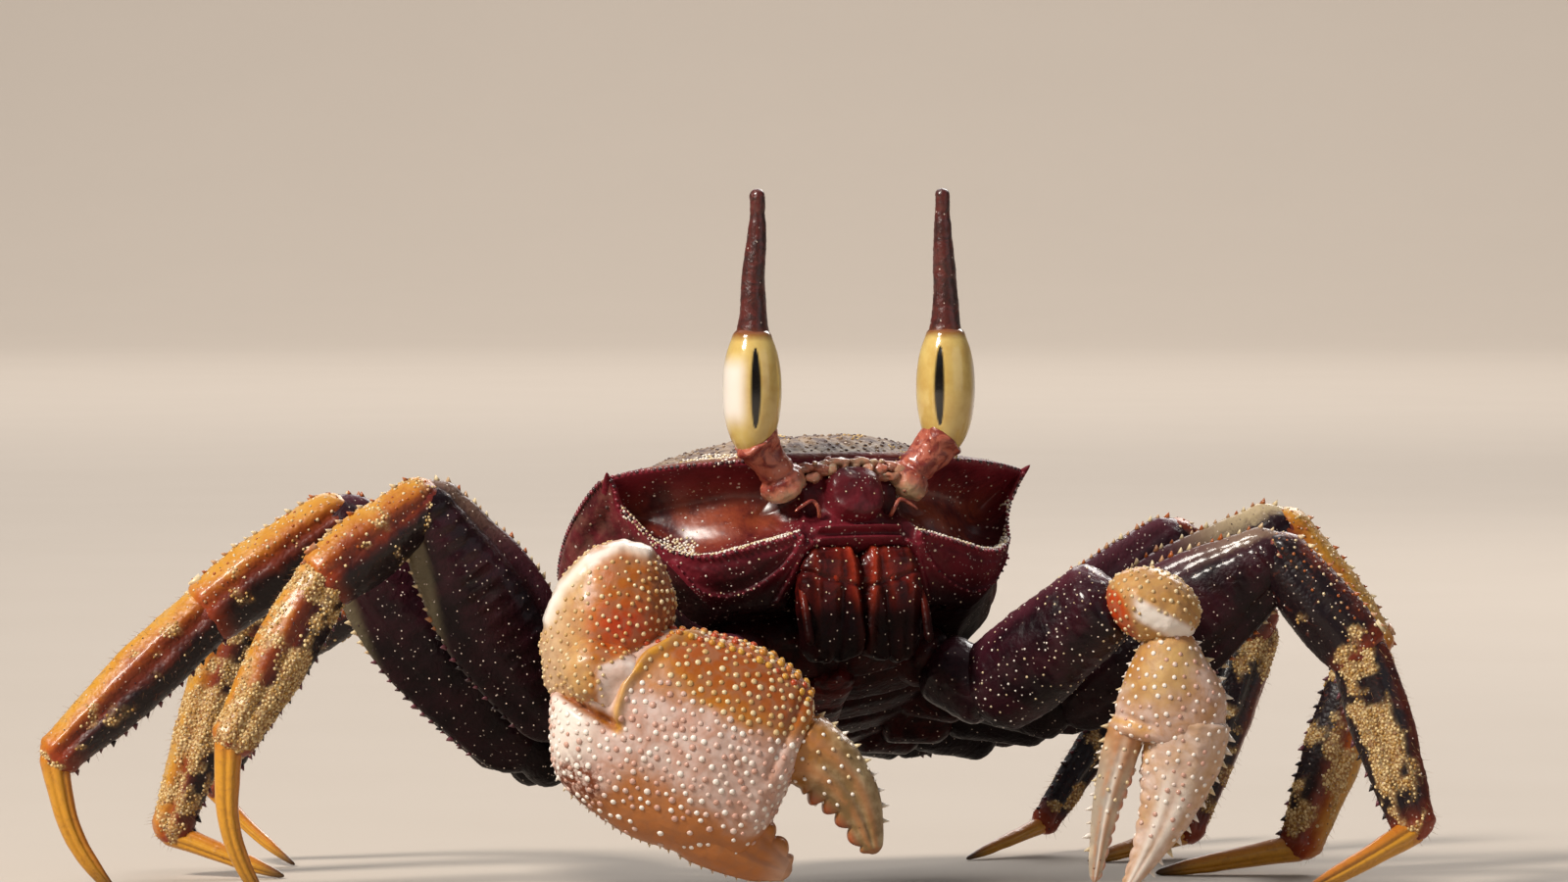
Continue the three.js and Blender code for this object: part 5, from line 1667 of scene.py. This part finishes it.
class CrabHues(bpy.types.PropertyGroup):
    """Colours of the crab's plates, limbs and dressings."""
    plate: colour("Face", "72202a")
    plate_deep: colour("Face, deep", "380f15")
    plate_edge: colour("Face, ridges", "7e2230")
    plate_hollow: colour("Orbits", "8a4028")
    back: colour("Back", "937a62")
    back_deep: colour("Back, deep", "4d3430")
    # near-black painted shade for the parts that lie low or underneath
    shade: colour("Painted shade", "0a0304")
    speck: colour("Specks", "e8d6c8")
    thigh: colour("Thighs", "34111b")
    thigh_deep: colour("Thighs, deep", "15060c")
    thigh_edge: colour("Thighs, edges", "6c3642")
    gold: colour("Shanks, top", "c9922e")
    shank: colour("Shanks", "a65214")
    shank_deep: colour("Shanks, deep", "6e2712")
    joint: colour("Joints", "b0400f")
    toe: colour("Toes", "cf9020")
    straw: colour("Claws, straw", "c39c62")
    band: colour("Thighs, underside", "857a5e")
    cream: colour("Cream", "dcc69c")
    claw: colour("Claws", "d8bfb6")
    claw_pink: colour("Claws, pink", "c89a88")
    claw_peach: colour("Claws, peach", "b9733c")
    claw_tan: colour("Claws, tan", "b5701f")
    claw_orange: colour("Claws, orange", "98440e")
    claw_red: colour("Claws, red", "b8300a")
    claw_net: colour("Claws, net", "97694c")
    white: colour("White", "f0e6dc")
    # dark brown for sand and pits, also painted shade in the claw's cleft
    finger: colour("Fingers", "7c6036")
    dirt: colour("Dirt", "74391c")
    stalk: colour("Eyestalks", "b4604a")
    stalk_deep: colour("Eyestalks, deep", "761f18")
    cornea: colour("Eyes", "d9bd72")
    cornea_deep: colour("Eyes, deep", "b98a3a")
    cornea_cap: colour("Eyes, ends", "7e4016")
    slit: colour("Slits", "0b0705")
    horn: colour("Horns", "581f1a")
    horn_deep: colour("Horns, deep", "300f0d")
    mouth: colour("Mouth", "5a1411")
    mouth_deep: colour("Mouth, deep", "2c0a0a")
    # ridge red that also stands in for highlights
    mouth_ridge_and_highlight: colour("Mouth, ridges and highlights", "b03a20")
    sand: colour("Sand", "ae8442")
    sand_pale: colour("Sand, pale", "e3c994")
    hair: colour("Hair", "b3905c")
    floor: colour("Floor and backdrop", "b4a79a")


class CrabDetail(bpy.types.PropertyGroup):
    """Sizes of what repeats over the crab."""
    granule: length("Granule", "Breadth of the granules on the hands", 0.00078)
    tooth: length("Tooth", "Length of the teeth along the limbs' edges", 0.00062)
    grain: length("Sand grain", "Breadth of a sand grain", 0.00032)
    bristle: length("Bristle", "Length of the hairs on the legs", 0.0011)
    sand: bpy.props.FloatProperty(
        name="Sand", description="How much of the sand clings on", default=1, min=0, max=1, subtype="FACTOR")


def detail():
    return bpy.context.scene.crab_detail


# ---- steps


class Step:
    """What every step shares: a failure stops the script, and success is reported."""
    bl_options = {"REGISTER", "UNDO"}

    def execute(self, context):
        self.build()
        return {"FINISHED"}


class CRAB_OT_shell(Step, bpy.types.Operator):
    """Back, walls and face of the shell, with their beads and granules"""
    bl_idname = "crab.shell"
    bl_label = "Shell"

    def build(self):
        shell, face, teeth = shell_parts()
        piece("shell_back", together(shell, teeth), "Plate", "shell", "carapace")
        piece("shell_face", face, "Plate", "shell", "carapace")
        places, aims, sizes = rim_beads()
        sown("shell_beads", "dome", places, aims, sizes, "Dark granules", "shell")
        tops, aims, _ = strewn(shell, 0.85, 3, lambda p, n, t: t["upper"] * (t["behind"] > 1) * 0.9)
        sizes = 0.3 + 0.24 * scramble(np.floor(tops * 20).astype(np.int64), 3)
        sown("shell_granules", "dome", tops, aims, sizes, "Back granules", "shell")
        tops, aims, _ = strewn(
            face, 1.2, 4, lambda p, n, t: (n @ -BODY.side > 0.2) * (1 - 0.75 * t["hollow"]) * 0.45)
        sown("face_specks", "grain", tops, aims, 0.22 + 0.12 * cloud(tops, 1, 2), "Pale granules", "shell")


class CRAB_OT_mouth(Step, bpy.types.Operator):
    """Mouth plates and feelers"""
    bl_idname = "crab.mouth"
    bl_label = "Mouth"

    def build(self):
        for name, side in RIGHT_LEFT:
            plate = maxilliped(side)
            piece(f"mouth_{name}", plate, "Mouth", "belly", f"maxilliped_{name}")
            piece(f"feeler_{name}", antenna(side), "Stalk", "belly", f"antenna_{name}")
            tops, aims, _ = strewn(
                plate, 1.0, 6, lambda p, n, t: (n @ -BODY.side > 0.3) * (1 - t["low"]) * 0.6)
            sown(f"mouth_specks_{name}", "grain", tops, aims, 0.24, "Pale granules", "belly")


class CRAB_OT_belly(Step, bpy.types.Operator):
    """Breast plate, first leg segments and folded tail"""
    bl_idname = "crab.belly"
    bl_label = "Belly"

    def build(self):
        parts = [belly_form()]
        roots = [(leg_lines(name)["ischium"], ROWS[name[-2:]][2]) for name in LEGS]
        roots += [(Line.between(*arm["joints"][:2]), (10, 6.6)) for arm in ARMS.values()]
        for line, girth in roots:
            deep = [(0, girth[0] * 0.36), (1, girth[0] * 0.33)]
            wide = [(0, girth[1] * 0.56), (1, girth[1] * 0.53)]
            part = limb(line, [(-8, 0), (-4, 0), (0.8, 0)], deep, wide, (0.2, 0.25), 1, 44, 40)
            part.swell(0.12 * pebbles(part.points, 0.9, 2))
            parts.append(part)
        # the breast plate and leg roots are mostly painted shade
        piece("breast", together(*parts).wear(low=0.8), "Mouth", "belly", "underbody")
        piece("tail", tail_form(), "Mouth", "belly", "abdomen")


class CRAB_OT_eyes(Step, bpy.types.Operator):
    """Eyestalks, eyes and horns"""
    bl_idname = "crab.eyes"
    bl_label = "Eyes"

    def build(self):
        for name, side in RIGHT_LEFT:
            piece(f"stalk_{name}", stalk_form(side), "Stalk", "stalk", f"eyestalk_{name}")
            piece(f"cornea_{name}", eye_form(side), "Cornea", "cornea", f"eye_{name}")
            piece(f"spire_{name}", horn_form(side), "Horn", "horn", f"horn_{name}")


class CRAB_OT_legs(Step, bpy.types.Operator):
    """Eight walking legs, with the teeth and granules along them"""
    bl_idname = "crab.legs"
    bl_label = "Legs"

    def build(self):
        rng = np.random.default_rng(11)
        dark, pale, dots, domes = [], [], [], []
        for name in LEGS:
            lines, girth = leg_lines(name), ROWS[name[-2:]][2]
            parts = {kind: leg_part(name, kind) for kind in SEGMENTS}
            worn = {**parts, "merus": together(parts["ischium"], parts["merus"])}
            for kind, cover, slot in (("merus", "Thigh", "thigh"), ("carpus", "Shank", "shank"),
                                      ("propodus", "Shank", "shank"), ("dactyl", "Toe", "toe")):
                piece(f"{name}_{kind}", worn[kind], cover, slot, f"leg_{name}_{kind}")
            piece(f"{name}_skin", joint_skin(lines, girth), "Membrane", "shank")
            for rows, kind, edge, start, stop, gap in (
                    (dark, "merus", -1, 0.16, 0.55, 1.05), (dark, "propodus", -1, 0.1, 0.92, 1.3),
                    (pale, "merus", 1, 0.12, 0.97, 0.95), (pale, "merus", -1, 0.57, 0.97, 1.05),
                    (pale, "carpus", 1, 0.15, 0.95, 1.0)):
                rows.append(edge_row(parts[kind], edge, start, stop, gap, lines[kind], rng))
            scale = math.sqrt(girth[0] / FULL_DEPTH)
            for kind, share, gap in (("merus", 0.45, 1.0), ("carpus", 0.5, 1.0), ("propodus", 0.4, 1.1)):
                at, aims, _ = strewn(parts[kind], gap * scale, 21, lambda p, n, t: np.full(len(p), share))
                dots.append((at, aims, 0.18 + 0.08 * cloud(at, 0.6, 5)))
            at, aims, _ = strewn(
                parts["carpus"], 0.8, 23, lambda p, n, t: ease(2 * t["edge"]) * (1 - t["sand"]))
            domes.append((at, aims, rng.uniform(0.22, 0.42, len(at))))
            line = lines["carpus"]
            spur = line.place(line.length * 0.93, 0, girth[0] * 0.27)
            pale.append((spur[None], (line.way + line.up * 0.35)[None], np.array([2.2])))
        tooth = detail().tooth * MM
        shape = {"Height": tooth, "Width": tooth * 1.15}
        for label, rows, cover in (("lower", dark, "Plum granules"), ("upper", pale, "Leg granules")):
            sown(f"leg_teeth_{label}", "spine", *joined(rows), cover, "thigh", **shape)
        sown("leg_domes", "dome", *joined(domes), "Leg granules", "shank")
        sown_in_lots("leg_granules", 9000, "grain", *joined(dots), "Dull granules", "thigh", Height=0.9)


def margins(name, palm, thumb, finger, rng):
    """Places, aims and sizes of the domes and spines along a hand's margins, by kind."""
    right, line = name == "right", palm_line(name)
    rows = {}
    top, low, step = ("dome", 0.7, 1.0) if right else ("spine", 1.3, 1.25)
    for form, edge, start, stop, tall, kind in (
            (palm, 1, 0.2, 0.97, 0.85, top), (palm, -1, 0.12, 0.84 if right else 0.7, low, "spine"),
            (thumb, -1, 0.3 if right else 0.1, 0.97, low, "spine"),
            (finger, 1, 0.06, 0.8, 1.2, "spine")):
        around = PALM_AROUND if form is palm else FINGER_AROUND
        count = int(np.ptp(line.local(form.points)[:, 0]) * (stop - start) / step)
        for shift in (0, 5, -5, 10) if kind == "dome" else (0,):
            pick = edge_picks(form, around, edge, start, stop, count, shift)
            sizes = rng.uniform(0.8, 1.25, count) * tall
            aims = form.normals()[pick] + line.way * 0.4
            rows.setdefault(kind, []).append((form.points[pick], aims, sizes))
    return rows


class CRAB_OT_claws(Step, bpy.types.Operator):
    """The large right and small left claw and their arms"""
    bl_idname = "crab.claws"
    bl_label = "Claws"

    def build(self):
        size = detail().granule * MM
        rng = np.random.default_rng(5)
        for name in ARMS:
            stub, thigh = arm_forms(name)
            # painted shade: the arm's thigh darkens lower down
            thigh.wear(low=ease((28 - thigh.points[:, 2]) / 9) * (0.6 if name == "right" else 0.35))
            piece(f"arm_{name}_ischium", stub, "Thigh", "thigh", f"claw_{name}_ischium")
            piece(f"arm_{name}_merus", thigh, "Thigh", "thigh", f"claw_{name}_merus")
            at, aims, _ = strewn(thigh, 0.8, 22, lambda p, n, t: ease((cloud(p, 2.5, 4) + 0.35) / 0.6) * 0.7)
            sizes = rng.uniform(0.16, 0.34, len(at))
            sown(f"arm_{name}_specks", "grain", at, aims, sizes, "Pale granules", "thigh")
            knob = knobs()[name]
            piece(f"arm_{name}_carpus", knob, "Claw", "claw", f"claw_{name}_carpus")
            whole, palm, thumb = palms()[name]
            piece(f"hand_{name}", whole, "Claw", "claw", f"claw_{name}_palm")
            finger = finger_form(name, "finger")
            piece(f"finger_{name}", finger, "Finger", "finger", f"claw_{name}_finger")
            self.granules(name, palm, thumb, finger, knob, size, rng)

    def granules(self, name, palm, thumb, finger, knob, size, rng):
        """Domes all over the hand and teeth along its margins."""
        right = name == "right"
        gap = 0.84 if right else 0.95
        hand = palm if right else together(palm, thumb)
        at, aims, traits = strewn(hand, gap, 2, lambda p, n, t: 1 - t["smooth"], 5)
        warm = traits["warm"] > 0.5
        sizes = size * (0.9 if right else 0.72) * rng.uniform(0.7, 1.1, len(at))
        for label, pick, cover in (("warm", warm, "Warm granules"), ("pale", ~warm, "Claw granules")):
            if pick.any():
                sown(f"hand_{name}_granules_{label}", "dome", at[pick], aims[pick], sizes[pick], cover,
                     "claw", Height=0.5)
        at, aims, _ = strewn(knob, 0.8, 8, lambda p, n, t: 1 - t["smooth"], 5)
        sizes = size * 0.62 * rng.uniform(0.7, 1.2, len(at))
        sown(f"wrist_{name}_granules", "dome", at, aims, sizes, "Warm granules", "claw", Height=0.8)
        tooth = detail().tooth * MM
        forms = {"dome": ("Red granules", 0.75, 1.0), "spine": ("Pale granules", tooth * 1.05, tooth * 0.9)}
        for kind, rows in margins(name, palm, thumb, finger, rng).items():
            cover, tall, wide = forms[kind]
            sown(f"hand_{name}_{kind}s", kind, *joined(rows), cover, "claw", Height=tall, Width=wide)
        at, aims, _ = strewn(finger, 1.3, 12, lambda p, n, t: (t["along"] < 0.55) * 0.9)
        sown(f"finger_{name}_granules", "dome", at, aims, size * 0.6, "Pale granules", "finger")


class CRAB_OT_sand(Step, bpy.types.Operator):
    """Sand on the legs and the shell, and short bristles on the legs"""
    bl_idname = "crab.sand"
    bl_label = "Sand and bristles"

    def build(self):
        grain, share = detail().grain * MM, detail().sand
        heaps, hairs = [], []
        for name in LEGS:
            for kind in ("propodus", "carpus"):
                at, aims, _ = strewn(leg_part(name, kind), grain, 31, lambda p, n, t: t["sand"] * share)
                heaps.append((at, aims))
            shin = leg_part(name, "propodus")
            at, aims, _ = strewn(shin, 0.62, 41, lambda p, n, t: 0.25 + 0.6 * (abs(t["edge"]) > 0.8))
            ruffle = np.random.default_rng(3).normal(size=aims.shape)
            hairs.append((at, aims + leg_lines(name)["propodus"].way * 0.8 + 0.4 * ruffle))
        shell, face, _ = shell_parts()
        at, aims, _ = strewn(shell, grain * 1.2, 33, lambda p, n, t: t["upper"] * share * ease(
            (cloud(p, 4.5, 9) + 0.7 * cloud(p, 1.3, 10) - 0.8 + 0.5 * np.exp(-t["behind"] / 5)) / 0.3))
        heaps.append((at, aims))
        x, _, z = BODY.local(face.points).T
        ledge = along_line(abs(x), z - 0.55, INFRAORBITAL[2:], 0.4)
        face.wear(bank=clamp(1.3 * bell(np.hypot(x + 18, z + 1.7), 1.9) + 0.9 * ledge))
        at, aims, _ = strewn(face, grain * 0.95, 34, lambda p, n, t: (n @ -BODY.side > 0.05) * share * ease(
            (t["bank"] + 0.35 * cloud(p, 0.9, 3) - 0.4) / 0.3), 6)
        top, facing, _ = strewn(shell, grain, 35, lambda p, n, t: t["upper"] * share * ease(
            (bell(np.hypot(p[:, 0] / 2 + 6.75, t["behind"] - 1.6), 1.6)
             + 0.4 * cloud(p, 0.9, 3) - 0.4) / 0.3))
        at, aims = joined([(at, aims), (top, facing)])
        sown("sand_face", "grain", at, aims, grain * 1.2, "Pale granules", "shell")
        at, aims = joined(heaps)
        sizes = grain * np.random.default_rng(8).uniform(0.6, 1.45, len(at))
        sown_in_lots("sand", 9500, "grain", at, aims, sizes, "Sand", "shank")
        at, aims = joined(hairs)
        sizes = detail().bristle * MM * np.random.default_rng(9).uniform(0.5, 1.1, len(at))
        sown("bristles", "hair", at, aims, sizes, "Hair", "shank")


class CRAB_OT_stage(Step, bpy.types.Operator):
    """Floor, backdrop, lights and camera"""
    bl_idname = "crab.stage"
    bl_label = "Stage"
    # Name, metres across, towards the camera and up, size, watts and colour; the wall's lamp points down.
    LAMPS = (
        ("key", -0.6, 0.5, 0.7, 0.22, 13.5, (1.0, 0.95, 0.87)),
        ("fill", 0.8, 0.7, 0.3, 0.7, 0.9, (0.92, 0.96, 1.0)),
        ("rim", 0.35, -0.7, 0.6, 0.4, 4, (1.0, 0.97, 0.93)),
        ("wall", 0, -1.9, 1.1, 1.4, 25, (1.0, 0.98, 0.95)),
        ("ceiling", 0, -0.6, 2.6, 4.0, 15, (1.0, 1.0, 1.0)),
    )

    def build(self):
        scene = bpy.context.scene
        self.lay_floor(scene)
        right, near = Vector(VIEW["right"]), Vector(VIEW["near"])
        target = Vector(np.array(VIEW["target"]) + OFFSET) / MM
        self.set_camera(scene, target, near)
        for name, across, towards, high, size, power, warmth in self.LAMPS:
            lamp = bpy.data.lights.new(name, "AREA")
            lamp.size, lamp.energy, lamp.color = size, power, warmth
            thing = bpy.data.objects.new(name, lamp)
            thing.location = target + right * across + near * towards + Vector((0, 0, high - 0.05))
            if name != "wall":
                thing.rotation_euler = (target - thing.location).to_track_quat("-Z", "Y").to_euler()
            scene.collection.objects.link(thing)
        world = bpy.data.worlds.new("Studio")
        world.use_nodes = True
        sky = world.node_tree.nodes["Background"].inputs
        sky["Color"].default_value = (0.86, 0.9, 0.95, 1)
        sky["Strength"].default_value = 0.13
        scene.world = world
        scene.view_settings.view_transform = "Standard"

    def lay_floor(self, scene):
        """A round floor whose rim curves up into the backdrop."""
        around = 96
        turn = turns(around)
        rows = [(0.4, 0.0), (1.2, 0.0), (2.4, 0.0)]
        rows += [(2.4 + 0.8 * math.sin(t), 0.8 - 0.8 * math.cos(t)) for t in np.linspace(0.1, 1.5, 12)]
        points = [(r * math.cos(a), r * math.sin(a), h) for r, h in rows for a in turn] + [(0, 0, 0)]
        faces = []
        for i in range(around):
            j = (i + 1) % around
            faces += [(k + i + around, k + j + around, k + j, k + i)
                      for k in range(0, (len(rows) - 1) * around, around)]
            faces.append((len(points) - 1, i, j))
        mesh = bpy.data.meshes.new("floor")
        mesh.from_pydata(points, [], faces)
        mesh.materials.append(finish("Floor"))
        mesh.shade_smooth()
        floor = bpy.data.objects.new("floor", mesh)
        scene.collection.objects.link(floor)

    def set_camera(self, scene, target, near):
        look = Vector((0, 0, -math.sin(VIEW["dip"]))) - near * math.cos(VIEW["dip"])
        lens = bpy.data.cameras.new("camera")
        lens.lens, lens.sensor_width, lens.clip_start = VIEW["lens"], VIEW["sensor"], 0.01
        camera = bpy.data.objects.new("camera", lens)
        camera.location = target - look
        camera.rotation_euler = look.to_track_quat("-Z", "Y").to_euler()
        scene.collection.objects.link(camera)
        scene.camera = camera


STEPS = (
    CRAB_OT_stage, CRAB_OT_shell, CRAB_OT_mouth, CRAB_OT_belly, CRAB_OT_eyes, CRAB_OT_legs, CRAB_OT_claws,
    CRAB_OT_sand,
)


class CRAB_PT_sidebar(bpy.types.Panel):
    """Lists the crab's steps and what may be changed"""
    bl_idname = "CRAB_PT_sidebar"
    bl_label = "Ghost Crab"
    bl_space_type = "VIEW_3D"
    bl_region_type = "UI"
    bl_category = "Crab"

    def draw(self, context):
        for step in STEPS:
            self.layout.operator(step.bl_idname)
        for group in (context.scene.crab_detail, context.scene.crab_hues):
            for name in group.bl_rna.properties.keys():
                if name not in ("rna_type", "name"):
                    self.layout.prop(group, name)


CLASSES = (CrabHues, CrabDetail, *STEPS, CRAB_PT_sidebar)


def register():
    for one in CLASSES:
        bpy.utils.register_class(one)
    bpy.types.Scene.crab_hues = bpy.props.PointerProperty(type=CrabHues)
    bpy.types.Scene.crab_detail = bpy.props.PointerProperty(type=CrabDetail)


def unregister():
    del bpy.types.Scene.crab_detail, bpy.types.Scene.crab_hues
    for one in reversed(CLASSES):
        bpy.utils.unregister_class(one)


def main():
    register()
    for step in STEPS:
        getattr(bpy.ops.crab, step.bl_idname.split(".")[1])()


if __name__ == "__main__":
    main()
